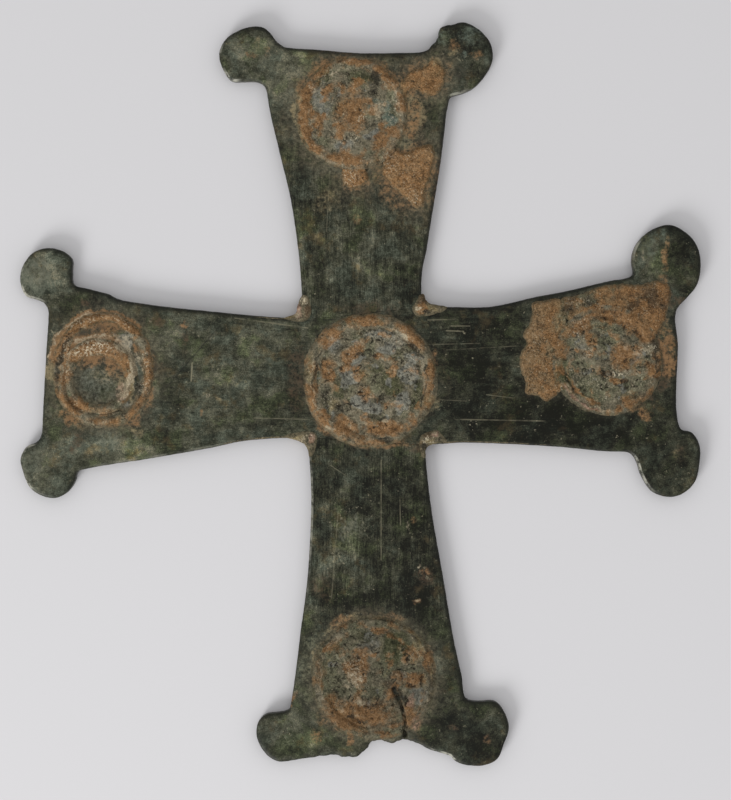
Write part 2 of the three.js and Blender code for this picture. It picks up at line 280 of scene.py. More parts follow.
@dataclass(frozen=True)
class Arc:
    """Part of a ring of one tone round the centre of its mark, between two angles in degrees."""

    tone: Tone
    radius: float
    half: float
    start: float
    stop: float
    strength: float = 1.0
    fade: float = 9.0

    def cover(self, points: Array, centre: Array) -> Array:
        """How much the arc covers each point, from 0 to its strength.

        Args:
            points: The places.
            centre: The centre of the mark.

        Returns:
            The covers.
        """
        away = points - centre
        angle = np.degrees(np.arctan2(away[:, 1], away[:, 0])) - (self.start + self.stop) / 2
        turned = np.abs((angle + 180.0) % 360.0 - 180.0)
        spread = (self.stop - self.start) / 2
        ends = smoothstep(spread + self.fade, spread - self.fade, turned)
        across = np.abs(np.hypot(away[:, 0], away[:, 1]) - self.radius) / self.half
        return self.strength * ends * smoothstep(1.55, 0.45, across)


def spots(tone: Tone, *rows: Row) -> tuple[Patch, ...]:
    """Spots of one tone, each by its place, half widths, strength and turn in degrees."""
    return tuple(Patch(tone, *row) for row in rows)


def plates(tone: Tone, *rows: Row) -> tuple[Plate, ...]:
    """Plates of one tone, each by the same numbers as a spot."""
    return tuple(Plate(tone, *row) for row in rows)


def arcs(tone: Tone, *rows: Row) -> tuple[Arc, ...]:
    """Arcs of one tone, each by its radius, half width, two angles and strength."""
    return tuple(Arc(tone, *row) for row in rows)


def each(kind: type, *rows: tuple) -> tuple:
    """One thing of a kind from each row of its numbers."""
    return tuple(kind(*row) for row in rows)


@dataclass(frozen=True)
class Shade:
    """A broad soft area where the bronze is lighter or, below 0, darker."""

    x: float
    y: float
    half_x: float
    half_y: float
    amount: float

    def at(self, points: Array) -> Array:
        """How much lighter each point is."""
        away = np.hypot((points[:, 0] - self.x) / self.half_x, (points[:, 1] - self.y) / self.half_y)
        return self.amount * np.exp(-(away**2))


@dataclass(frozen=True)
class Crack:
    """A groove along a line of points, in millimetres from a mark's centre."""

    points: tuple[Place, ...]
    width: float
    depth: float

    def drop(self, points: Array, centre: Array) -> Array:
        """How deep the groove is at each point.

        Args:
            points: The places.
            centre: The centre of the mark.

        Returns:
            The depths.
        """
        nearest = np.full(len(points), 1e9)
        ends = np.array(self.points) + centre
        jagged = Noise(107).warp(points, 1.7, 0.7)
        for start, stop in zip(ends, ends[1:]):
            nearest = np.minimum(nearest, segment_distance(jagged, start, stop))
        return self.depth * smoothstep(self.width, 0.0, nearest)


def segment_distance(points: Array, start: Array, stop: Array) -> Array:
    """The distance from each point to a straight segment.

    Args:
        points: The places.
        start: One end.
        stop: The other end.

    Returns:
        The distances.
    """
    along = stop - start
    share = np.clip((points - start) @ along / (along @ along), 0.0, 1.0)
    return np.linalg.norm(points - start - share[:, None] * along, axis=1)


# Loops read from the frame


def chained(edges: Sequence[tuple[int, int]], points: Array) -> list[Array]:
    """Join edges end to end into closed loops.

    Args:
        edges: Pairs of point numbers, where each point has two edges.
        points: The points' places.

    Returns:
        The loops anticlockwise, with the one round the largest area first.
    """
    beside: dict[int, list[int]] = {}
    for one, two in edges:
        beside.setdefault(one, []).append(two)
        beside.setdefault(two, []).append(one)
    loops = []
    while beside:
        at = next(iter(beside))
        order = []
        while at in beside:
            order.append(at)
            ways = beside.pop(at)
            at = next((way for way in ways if way in beside), -1)
        loops.append(points[order, :2])
    loops = [loop if area(loop) > 0 else loop[::-1] for loop in loops]
    return sorted(loops, key=area, reverse=True)


def area(loop: Array) -> float:
    """The area inside a loop, positive where it runs anticlockwise."""
    after = np.roll(loop, -1, axis=0)
    return float(np.sum(loop[:, 0] * after[:, 1] - after[:, 0] * loop[:, 1]) / 2)


def resampled(loop: Array, step: float) -> Array:
    """A closed loop drawn smoothly through its points, with points step apart.

    Args:
        loop: The loop's points.
        step: The spacing of the new points.

    Returns:
        The new points.
    """
    parts = 8
    before, after, beyond = (np.roll(loop, shift, axis=0) for shift in (1, -1, -2))
    dense = []
    for part in range(parts):
        t = part / parts
        dense.append(
            0.5
            * (
                2 * loop
                + (after - before) * t
                + (2 * before - 5 * loop + 4 * after - beyond) * t**2
                + (3 * loop - before - 3 * after + beyond) * t**3
            )
        )
    fine = np.stack(dense, axis=1).reshape(-1, 2)
    closed = np.vstack([fine, fine[:1]])
    travel = np.concatenate([[0], np.cumsum(np.linalg.norm(np.diff(closed, axis=0), axis=1))])
    count = max(12, round(travel[-1] / step))
    at = np.arange(count) * travel[-1] / count
    return np.stack([np.interp(at, travel, closed[:, k]) for k in (0, 1)], axis=1)


def outward(loop: Array) -> Array:
    """The unit vectors that point out of an anticlockwise loop at its points."""
    along = np.roll(loop, -2, axis=0) - np.roll(loop, 2, axis=0)
    return np.stack([along[:, 1], -along[:, 0]], 1) / np.linalg.norm(along, axis=1)[:, None]


def inside(loop: Array, points: Array) -> Array:
    """Which points lie inside a closed loop.

    Args:
        loop: The loop's points.
        points: The places.

    Returns:
        True where a place is inside.
    """
    order = np.argsort(points[:, 1])
    across, up = points[order, 0], points[order, 1]
    passed = np.zeros(len(points), bool)
    for start, stop in zip(loop, np.roll(loop, -1, axis=0)):
        first, last = np.searchsorted(up, sorted((start[1], stop[1])))
        if first < last:
            share = (up[first:last] - start[1]) / (stop[1] - start[1])
            passed[first:last] ^= across[first:last] < start[0] + share * (stop[0] - start[0])
    found = np.zeros(len(points), bool)
    found[order] = passed
    return found


class Nearest:
    """Finds the nearest of a set of sample points."""

    def __init__(self, samples: Array) -> None:
        """Index the samples.

        Args:
            samples: Their places.
        """
        self.tree = KDTree(len(samples))
        for index, (across, up) in enumerate(samples):
            self.tree.insert((across, up, 0.0), index)
        self.tree.balance()

    def distance(self, points: Array) -> Array:
        """How far each point is from the nearest sample."""
        return self._found(points, 2)

    def number(self, points: Array) -> Array:
        """Which sample is nearest to each point."""
        return self._found(points, 1)

    def _found(self, points: Array, part: int) -> Array:
        """The sample's number, which is part 1 of what the tree finds, or its distance, part 2."""
        find = self.tree.find
        return np.array([find((across, up, 0.0))[part] for across, up in points])


class CadNode:
    """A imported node's mesh with its shared corners merged, in millimetres."""

    def __init__(self, name: str) -> None:
        """Read the node's mesh.

        Args:
            name: The node's name.
        """
        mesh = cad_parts[name].data
        flat = np.zeros(3 * len(mesh.vertices), np.float32)
        mesh.vertices.foreach_get("co", flat)
        rounded = np.round(flat.reshape(-1, 3) / METRES, 3)
        self.points, merged = np.unique(rounded, axis=0, return_inverse=True)
        mesh.calc_loop_triangles()
        corners = np.zeros(3 * len(mesh.loop_triangles), np.int32)
        mesh.loop_triangles.foreach_get("vertices", corners)
        self.faces = merged.reshape(-1)[corners].reshape(-1, 3)
        self.top = float(self.points[:, 2].max())

    def wall_loop(self, level: float) -> Array:
        """The outline drawn by the edges that lie at a level of the wall.

        Args:
            level: The height of the edges.

        Returns:
            The outline's points.
        """
        at = np.abs(self.points[:, 2] - level) < 0.01
        edges = np.concatenate([self.faces[:, pair] for pair in ([0, 1], [1, 2], [2, 0])])
        level_edges = np.unique(np.sort(edges[at[edges].all(axis=1)], axis=1), axis=0)
        return chained(level_edges.tolist(), self.points)[0]

    def footprint(self) -> list[Array]:
        """The loops round the node's flat lower face, the outer one first.

        Returns:
            The loops.
        """
        low = self.points[:, 2] < self.points[:, 2].min() + 0.01
        flat = self.faces[low[self.faces].all(axis=1)]
        edges = np.sort(np.concatenate([flat[:, pair] for pair in ([0, 1], [1, 2], [2, 0])]), 1)
        pairs, times = np.unique(edges, axis=0, return_counts=True)
        return chained(pairs[times == 1].tolist(), self.points)


# Marks and crusts, as the front shows them


@dataclass
class Mark:
    """A round mark that a lost boss left: its rim, its bed and the spots on and near them."""

    name: str
    rust: float
    verdigris: float
    patches: tuple[Patch, ...]
    cracks: tuple[Crack, ...] = ()
    groove: float = 0.5
    flaky: float = 1.0
    halo: float = 0.8
    halo_reach: float = 3.6
    dim: float = 0.0
    ring_rust: float = 0.2

    def __post_init__(self) -> None:
        """Read the mark's place and loops from its CAD nodes."""
        self.rim = CadNode(f"rim_solder_{self.name}")
        self.bed = CadNode(f"boss_bed_{self.name}")
        self.rim_loops = self.rim.footprint()
        self.bed_loops = self.bed.footprint()
        outer = self.rim_loops[0]
        self.centre = (outer.min(axis=0) + outer.max(axis=0)) / 2

    def reach(self, loop: Array, angle: Array) -> Array:
        """How far a loop round the mark lies from its centre, at each angle.

        Args:
            loop: The loop.
            angle: The angles.

        Returns:
            The distances.
        """
        away = loop - self.centre
        turned = np.arctan2(away[:, 1], away[:, 0])
        order = np.argsort(turned)
        return np.interp(
            angle, turned[order], np.hypot(away[:, 0], away[:, 1])[order], period=2 * math.pi
        )

    def polar(self, points: Array) -> tuple[Array, Array]:
        """Each point's distance and angle from the mark's centre."""
        away = points - self.centre
        return np.hypot(away[:, 0], away[:, 1]), np.arctan2(away[:, 1], away[:, 0])


@dataclass(frozen=True)
class Crust:
    """A thick crust beside a mark, drawn by points from the mark's centre."""

    node: str
    mark: str
    height: float
    points: tuple[Place, ...]


TOP_SPOTS = (
    *arcs(Tone.SOOT, (13.3, 0.35, 92, 152, 0.5), (15.4, 0.35, 60, 110, 0.5)),
    *arcs(Tone.CREAM, (12.7, 0.3, 92, 150, 0.5), (14.6, 0.3, -12, 50, 0.5)),
    *arcs(Tone.RUST, (14.6, 1.5, 142, 214, 1.2), (15.4, 1.2, 195, 232, 1)),
    *arcs(Tone.OCHRE, (17, 0.7, 150, 215, 0.8), (17.4, 1.4, -24, 28, 0.9)),
    *plates(Tone.TEAL, (11.3, -2.5, 1.9, 2.9, 1.3)),
    *spots(
        Tone.OCHRE,
        (19.4, -1.4, 3.2, 5), (18, 1, 3, 4.8, 0.8), (-7.5, -26.6, 4.2, 4, 0.5),
        (-27.9, 21.2, 1, 2.2, 0.7, -12), (25.8, 14, 1.6, 2.6, 0.9, -20), (31, 18.5, 2.2, 1, 0.6, 30),
    ),
    *spots(Tone.UMBER, (20.6, -1.8, 2.6, 4.4, 0.9), (-4, 18.6, 5, 1.6, 0.7)),
    *spots(
        Tone.RUST,
        (17.4, -4.6, 2.6, 2.6, 1.1), (18.6, 0.6, 2.6, 3.4, 0.9), (16.6, -18.6, 10, 11, 0.75, 20),
        (21.6, 10, 8.4, 6, 0.75, 20), (0.8, -19.4, 5.4, 5, 0.75), (-9.6, 13, 4.5, 2.6, 1, 40),
        (1, 15.1, 5.2, 2, 1, -5), (10.8, 11, 5.5, 2.6, 1, -50), (15, 3.4, 1.6, 3.5),
        (1.8, 9.1, 2, 1.6), (-0.3, 0.5, 5, 6), (-10.2, -3.5, 1.8, 3.2, 1, 15),
        (9.9, -7.6, 5, 2.2, 1, 38), (-11.1, -10, 2.6, 1.2, 1, -50), (-14.4, 4, 1.6, 6, 0.8, 4),
        (-1.8, -14, 5.8, 2.2, 1, -12), (1.5, -32, 1.6, 1.4, 0.5), (-30.4, 17.7, 1.5, 1.3, 0.6),
        (-25.8, 17.9, 1.5, 1.5, 0.6), (37.2, 17.3, 2.2, 1.5, 0.8), (30.6, 20.4, 2.4, 1.4, 0.6, 30),
    ),
    # Painted sparkle
    *spots(
        Tone.SPARK,
        (18.8, 1, 3.2, 5, 0.9), (11, -15, 2.4, 4.4, 0.6, 20), (19.6, -26, 3.4, 3.4, 0.6),
        (-12, 6.6, 1.5, 1.2), (3, -1.6, 1.8, 1.4), (0.4, -8, 2.6, 2.4, 0.9), (12.6, 2, 1.8, 7, 0.7),
        (-4, 12, 6, 1.4, 0.6, 14), (-1, -19, 3.4, 3.4, 0.8), (16, -14, 6, 9, 0.35),
        (31, 18, 3.4, 3.4, 0.9),
    ),
    *spots(Tone.CREAM, (8.6, 1.2, 2.2, 3.4, 0.6)),
    *spots(Tone.SOOT, (6.6, 8.8, 1.3, 4.2, 1, -8), (32, 12.5, 2.8, 2.2, 0.7)),
    *spots(
        Tone.TEAL,
        (8.4, 2, 3.4, 1.7, 1.5, 5), (27.4, 22.6, 3.6, 2.6, 0.6), (36, 23.3, 5, 4, 0.55),
        (33.9, 17.3, 1.2, 1.5, 0.8),
    ),
    *spots(
        Tone.VERDIGRIS,
        (11.7, 1.3, 1.8, 6.3, 1, 5), (16.2, -9.1, 2.7, 2.1), (-9, -8, 2.4, 1.8, 0.8, -40),
        (5, -12.4, 3, 1.4, 0.7, 10),
    ),
    *spots(Tone.SLATE, (-8.7, 3.7, 2.6, 5.2, 0.8, -5), (-2, -10.3, 3, 1.5, 0.9)),
    *spots(
        Tone.MOSS,
        (-8.2, 5, 2.2, 4, 0.7, -5), (-9, 10.2, 3.6, 2.2, 0.8, 36), (3, 10.4, 4, 2.4, 0.9),
    ),
    *spots(Tone.PALE, (-30, 19, 8, 6.5, 0.45), (-21, 8, 3, 9, 0.35, 12)),
    # Painted highlights on the lobes' edges
    *spots(Tone.GLINT, (-42, 21, 2.6, 3.6), (-36.4, 10.8, 2.4, 2.4), (30, 6.6, 4, 2, 0.6)),
)

LEFT_SPOTS = (
    *arcs(Tone.RUST, (15.7, 2, 48, 132, 2.4), (15.4, 1.7, 120, 168, 2.2), (11.9, 0.9, 138, 205, 1.2)),
    *arcs(Tone.OCHRE, (15.9, 1.2, 118, 192, 1.5)),
    *arcs(
        Tone.CREAM,
        (17, 0.35, 100, 186, 0.9), (12, 0.3, -30, 30, 0.8), (9, 1.1, -56, 60, 1.4),
        (12.4, 0.3, 140, 200, 0.7), (17.2, 0.4, 58, 112, 0.5), (10.6, 0.4, 60, 170, 0.9),
    ),
    # Painted sparkle
    *arcs(Tone.SPARK, (15.9, 0.9, 110, 190, 0.9), (13.3, 1.6, -38, 34, 0.8), (16, 1.5, 52, 128, 0.7)),
    *arcs(
        Tone.SOOT,
        (15.7, 0.4, -30, 26, 0.8), (12.5, 0.4, 84, 132, 0.55), (13.5, 0.5, 132, 186, 0.8),
        (13.8, 0.5, 200, 262, 0.5),
    ),
    *plates(Tone.SLATE, (6.2, 8.2, 2.6, 2.1, 1.3)),
    *spots(
        Tone.SOOT,
        (4, -13.6, 3, 0.9, 0.5, 10), (-6.6, 11, 4, 0.7, 0.6, 22), (-11.8, 5.4, 0.8, 4, 0.9, -24),
        (3.4, 10.4, 2.2, 0.6, 0.7, -36), (10.9, -5, 1.1, 5, 0.8), (-13.6, -2, 0.8, 5, 0.8),
        (26.3, 3.4, 14, 0.7, 0.6, 49),
    ),
    *spots(
        Tone.RUST,
        (10.2, 6.5, 1.2, 2.2, 1, 40), (13.7, -2.9, 2, 8.4), (8.9, -14.3, 3.4, 2.4, 0.9, 40),
        (1.7, -15.8, 6, 1.7, 0.8), (-10, -14.3, 4.2, 2.2, 1, -40), (-3.9, 6.2, 8.4, 4.2, 1.8, 8),
        (-3.4, 7.6, 8, 3, 2.6, 8), (-2, 12.2, 5, 1.2, 0.6), (4.6, 2.6, 3.6, 3, 1.4, -20),
        (-11.2, -1.7, 1.8, 3), (3.8, -0.5, 2.6, 2.6, 0.7), (-0.4, -12.2, 8, 1.3, 0.6),
        (-10.6, -11, 3.4, 2.2, 0.8, 40), (1.2, 12.6, 4.6, 2, 1.2, -6), (24.5, 13.6, 1.5, 1.6, 0.7),
        (30, -12.8, 0.9, 1.1, 0.7),
    ),
    # Painted sparkle
    *spots(
        Tone.SPARK,
        (-3.4, 6.8, 8.8, 4, 1.15, 8), (-12.4, 12.4, 6, 2.6, 0.8, 45), (-11, -1, 1.6, 3, 0.8),
        (8.6, -2, 1.2, 6, 0.9), (13.4, -2, 1.6, 8, 0.7), (6.4, 7.6, 3.4, 2.6), (10.5, 2.9, 1.8, 2.4),
        (-5.5, 13.1, 1.2, 0.9),
    ),
    *spots(
        Tone.OCHRE,
        (-1, 16.4, 7, 1.4, 1, -5), (-13.6, 7.6, 1.4, 5.6, 0.9, -24), (6.4, -5.2, 2.6, 2.4, 1.5),
        (8.3, -3.2, 1.3, 7), (1, -1.6, 5, 4, 0.55, -10), (10.1, -18.5, 2, 1.8, 0.6),
        (35, -9.5, 1.7, 1, 0.9, -15), (-14.6, 27.5, 0.9, 4.6, 0.45, 22),
    ),
    *spots(
        Tone.CREAM,
        (-3.4, 9, 7.4, 1, 0.7, 6), (8.6, -2, 0.7, 5, 0.6), (5.9, 8, 2.4, 1.8, 0.9),
        (10.5, 3.1, 1, 1.3, 0.7), (31.4, -7.4, 0.6, 0.6, 0.9),
    ),
    *spots(Tone.PINK, (5.4, -6.4, 1.5, 2.1, 0.9)),
    *spots(
        Tone.UMBER,
        (-8.6, -9.6, 3, 2.4, 0.8, -40), (-5, 11.6, 5, 1.2, 0.9, 14), (-7.6, -21.5, 3.2, 2, 0.8, 60),
        (-5.8, 20.6, 1.8, 1, 0.9), (24.5, 9.6, 1.4, 4.4, 0.7), (16.4, 14.5, 2.6, 1.7, 0.7),
    ),
    *spots(Tone.SLATE, (7.2, -10.4, 2.4, 1.6, 0.6, 40), (-1.4, -3, 5.5, 5.5, 0.4)),
    *spots(Tone.TEAL, (10.6, -1.6, 1.4, 4.6, 0.7)),
    *spots(
        Tone.PALE,
        (-1, -3.4, 7, 5.6, 0.8), (4.4, -22.1, 6, 3, 0.6), (-21, 28.5, 6.5, 6.5, 0.85),
        (-22, -28.5, 6, 7, 0.55), (-18, 0, 3, 24, 0.3),
    ),
    # Painted highlights on the lobes' edges
    *spots(
        Tone.GLINT,
        (-22, 23.4, 5, 2.4), (-26, 32, 1.6, 6, 0.7), (-20.4, -33.6, 6, 2.4), (-23, -24, 3, 3, 0.8),
        (18, -24, 24, 2.4, 0.2, 10),
    ),
)

CENTRE_SPOTS = (
    *arcs(Tone.SOOT, (17.3, 0.3, 148, 206, 0.8), (16.9, 0.3, -30, 20, 0.8), (12.6, 0.4, 200, 262, 0.7)),
    *arcs(Tone.CREAM, (17.9, 0.3, 150, 215, 0.6), (16.2, 0.35, 10, 64, 0.7)),
    *plates(
        Tone.SLATE,
        (-6.4, 0.6, 1.4, 3.2, 1.5, 34), (-4.6, 5.6, 3.2, 1.2, 1.2, 34), (-1.2, -7.3, 5, 2, 1.6, -24),
        (11.8, 1.9, 3.2, 3, 1.6, 20), (9.4, -6.6, 3.2, 2, 1.2, 64),
    ),
    *spots(
        Tone.RUST,
        (-12.1, 12.9, 4.5, 2.4, 1, 48), (-0.7, 17.9, 6.5, 1.9, 0.9), (11.8, 13.5, 5.8, 2.2, 1, -48),
        (18.1, 3, 1.5, 6, 0.9, -8), (3.4, -18.9, 10.5, 1.5, 0.8), (-14.3, -13.2, 4, 2, 0.95, -45),
        (-17.8, -5.7, 1.6, 4, 1, 12), (-12.5, 2.6, 2.4, 3.5), (-5.3, 8.4, 4.2, 1.8, 1, 38),
        (-7.4, 5.4, 1.2, 2.4, 1, -20), (2.4, 7.5, 1.6, 1.2, 0.9), (-1.6, -3.6, 2.4, 2.6, 0.9),
        (-7.6, -13.8, 3.6, 2.8, 1, -30), (4.4, -14.4, 6.4, 2.5, 1, 3),
    ),
    *spots(
        Tone.OCHRE,
        (18, -6, 1.9, 3.4, 0.7, 12), (-18, 3.6, 1.4, 5.4, 0.8), (-2.3, 1.2, 2.2, 2, 0.7),
        (-11.3, -7.2, 1.8, 1.6, 0.9),
    ),
    *spots(
        Tone.CREAM,
        (11.8, 1.9, 2.4, 2.2, 0.4, 20), (8.2, 11.7, 2.6, 1.6, 0.5), (-12.4, -14.9, 1.3, 0.9),
        (4.4, -12.4, 1, 0.8, 0.8),
    ),
    *spots(
        Tone.SLATE,
        (5.4, 9.6, 2.6, 1.8, 1.4), (-11, 10.6, 2.2, 2.8, 1.1, -30), (13.2, 6.6, 2.4, 1.4, 1.2),
        (3, 13.2, 5, 1.4, 0.8), (7.6, 11.7, 4, 2.8, 0.6),
    ),
    *spots(
        Tone.MOSS,
        (6.4, -1, 3.4, 4.6, 1, 20), (14, -4.6, 2.2, 4.4, 0.8), (-9.6, -2.6, 2.4, 3.4, 0.7, -20),
        (1.6, 4.4, 2.8, 2, 0.7),
    ),
    *spots(
        Tone.SOOT,
        (3, -5, 1, 2.4, 0.6, -50), (-8.8, -6.6, 1, 2.2, 0.7, 20), (13.6, 9.3, 3.8, 0.7, 0.9, -55),
        (-13, -4.2, 1.8, 3, 0.6), (1, -11.2, 4.4, 0.8, 0.8), (4.1, -17.7, 2.6, 0.8),
        (-8.8, 9.2, 1, 3.2, 0.7, -42),
    ),
    # Painted sparkle
    *spots(
        Tone.SPARK,
        (8.2, 11.7, 4.6, 3.2, 0.6), (0, 13.4, 6, 2, 0.6), (-5, 8.4, 4.6, 2.2, 0.5, 38),
        (13, 5.6, 2.6, 2.4, 0.7), (12, -8, 3.4, 2.6, 0.5), (-1.6, -3.6, 3, 3, 0.5),
        (-12.6, -6, 2.4, 4, 0.5),
    ),
    *spots(Tone.VERDIGRIS, (1.4, -0.9, 3, 3.4, 0.9)),
    *spots(
        Tone.UMBER,
        (-22, 1.2, 3, 11, 0.75), (0, 21.8, 11, 2.2, 0.55), (22.4, 2, 1.8, 9, 0.4),
        (13.3, -20.7, 2.4, 1.8, 0.7),
    ),
)

RIGHT_SPOTS = (
    *arcs(Tone.CREAM, (14.3, 0.3, 205, 268, 0.8)),
    *arcs(Tone.SOOT, (13.5, 0.3, 200, 262, 0.6), (11.8, 0.3, 212, 256, 0.5), (14.2, 0.4, -24, 30, 0.8)),
    *arcs(Tone.PINK, (15.2, 0.4, 204, 262, 0.9)),
    *arcs(Tone.RUST, (12.7, 0.5, 205, 250, 0.9), (13.6, 2.2, 24, 92, 1.2)),
    *arcs(Tone.UMBER, (13.8, 1.6, 92, 150, 0.9)),
    *spots(
        Tone.VERDIGRIS,
        (-5.6, 18.4, 5, 2.4, 0.9, 8), (-14.6, 13.6, 1.6, 5, 0.8), (0.2, 9.6, 3, 3.6, 1.1),
        (0.7, 7.2, 3, 3), (-4.4, 10.5, 2.2, 1.8, 0.8), (-11.8, 5.4, 3.6, 2.3, 0.8),
        (-4.7, -8.7, 5.2, 5.6), (10.2, -6.5, 2.2, 2.8), (-12.6, -3.6, 1.8, 5, 0.9, 8),
        (-13, 11, 2, 4, 0.7, -10),
    ),
    *spots(
        Tone.UMBER,
        (-9.6, 17.6, 4.6, 2.4, 0.8, 20), (2.6, 20, 4, 1.8, 0.8), (12.6, 17.4, 7, 5, 1.4),
        (16.4, -4.4, 2.4, 5.4, 0.8), (11.6, -11.8, 3.4, 2.8, 0.7, -40), (21.4, 18.3, 1.9, 1.3, 0.8),
        (22, -28, 2.4, 3.4, 0.6),
    ),
    *spots(
        Tone.MOSS,
        (-13.4, -4.4, 2.4, 4.6, 0.9), (-6, -9.6, 3.4, 2.4, 0.7, -30), (11, 34, 2.6, 4.6, 0.9),
    ),
    *spots(Tone.OCHRE, (17.4, 33, 0.8, 4, 0.8, -12), (20.8, -27.9, 1, 1.3, 0.6)),
    # Painted sparkle
    *spots(
        Tone.SPARK,
        (-9, 18, 4.4, 2.6, 0.6), (12.3, 3.5, 2.8, 1.6, 1, 10), (3, -3.8, 3.4, 1.8),
        (-6.3, 1.8, 2.4, 2.4, 0.8), (-8.1, 11.4, 2.6, 2.2, 0.8), (-3.8, -7, 4.4, 3, 0.7),
        (-9.4, 6.6, 3.4, 4.4, 0.6), (9.6, -6, 2.4, 3.4, 0.6), (-1, -11.2, 3.6, 1.8, 0.5),
        (-22, 0, 4, 12, 0.35),
    ),
    *spots(
        Tone.RUST,
        (18.2, 2.6, 2.6, 7.4, 1.2), (-7.4, 10.4, 3.4, 2.6, 1.1), (7.4, 11.6, 3.8, 3.6, 1.1),
        (-14.6, 4, 2.2, 4), (4.3, 1.5, 4.2, 3.8), (-5, 6, 1.8, 2), (-13.7, 1.5, 2, 1.8, 0.8),
        (2.7, -6.5, 2.6, 1.2), (7.2, -12.6, 3.2, 2.4, 1, -35), (12.4, -2.4, 1.6, 2.2, 0.9),
        (0.1, 13.8, 4.5, 1.8, 0.9), (11.8, 13.5, 5, 5, 0.8), (19.3, 0, 1.8, 5.4, 0.95),
        (16, 7, 2.4, 5, 0.8, -15), (10.8, -16.5, 2.4, 2, 0.9, -20), (17.5, 31.5, 1.1, 5.5, 0.75, -8),
        (16.3, 21.3, 2.4, 4.2, 0.9),
    ),
    *spots(
        Tone.SOOT,
        (12.6, 17.4, 5.4, 3.2, 0.35, 20), (-0.2, -3.6, 1.7, 1.2, 0.9), (-5, 17.8, 3, 2.2, 0.75),
        (-11.5, 15.6, 2.4, 1.8, 0.65), (-6.3, -12.6, 5.4, 0.6, 0.5, -35),
        (14.5, 3.2, 0.6, 4.5, 0.85, 8), (16.7, 0.3, 0.6, 3.5, 0.7),
    ),
    *spots(Tone.SLATE, (8.5, 0.6, 3.4, 0.9, 1, 42), (-8.6, 4, 2, 1.6, 0.6)),
    *spots(
        Tone.CREAM,
        (12.3, 3.7, 1.6, 0.7, 0.7, 10), (-4.4, -13.4, 4.4, 0.5, 0.7, -32), (9.7, 31.4, 1, 2, 0.5),
    ),
    *spots(Tone.PALE, (9.7, 31.4, 1.3, 2.6)),
    *spots(Tone.TEAL, (16, 38.5, 2.6, 1.4, 0.7), (13.6, 33, 2.4, 5, 0.4)),
    # Painted highlights on the lobes' edges
    *spots(Tone.GLINT, (11, -33, 2.4, 5, 1, 30), (9.2, 33, 1.6, 4, 0.6)),
)

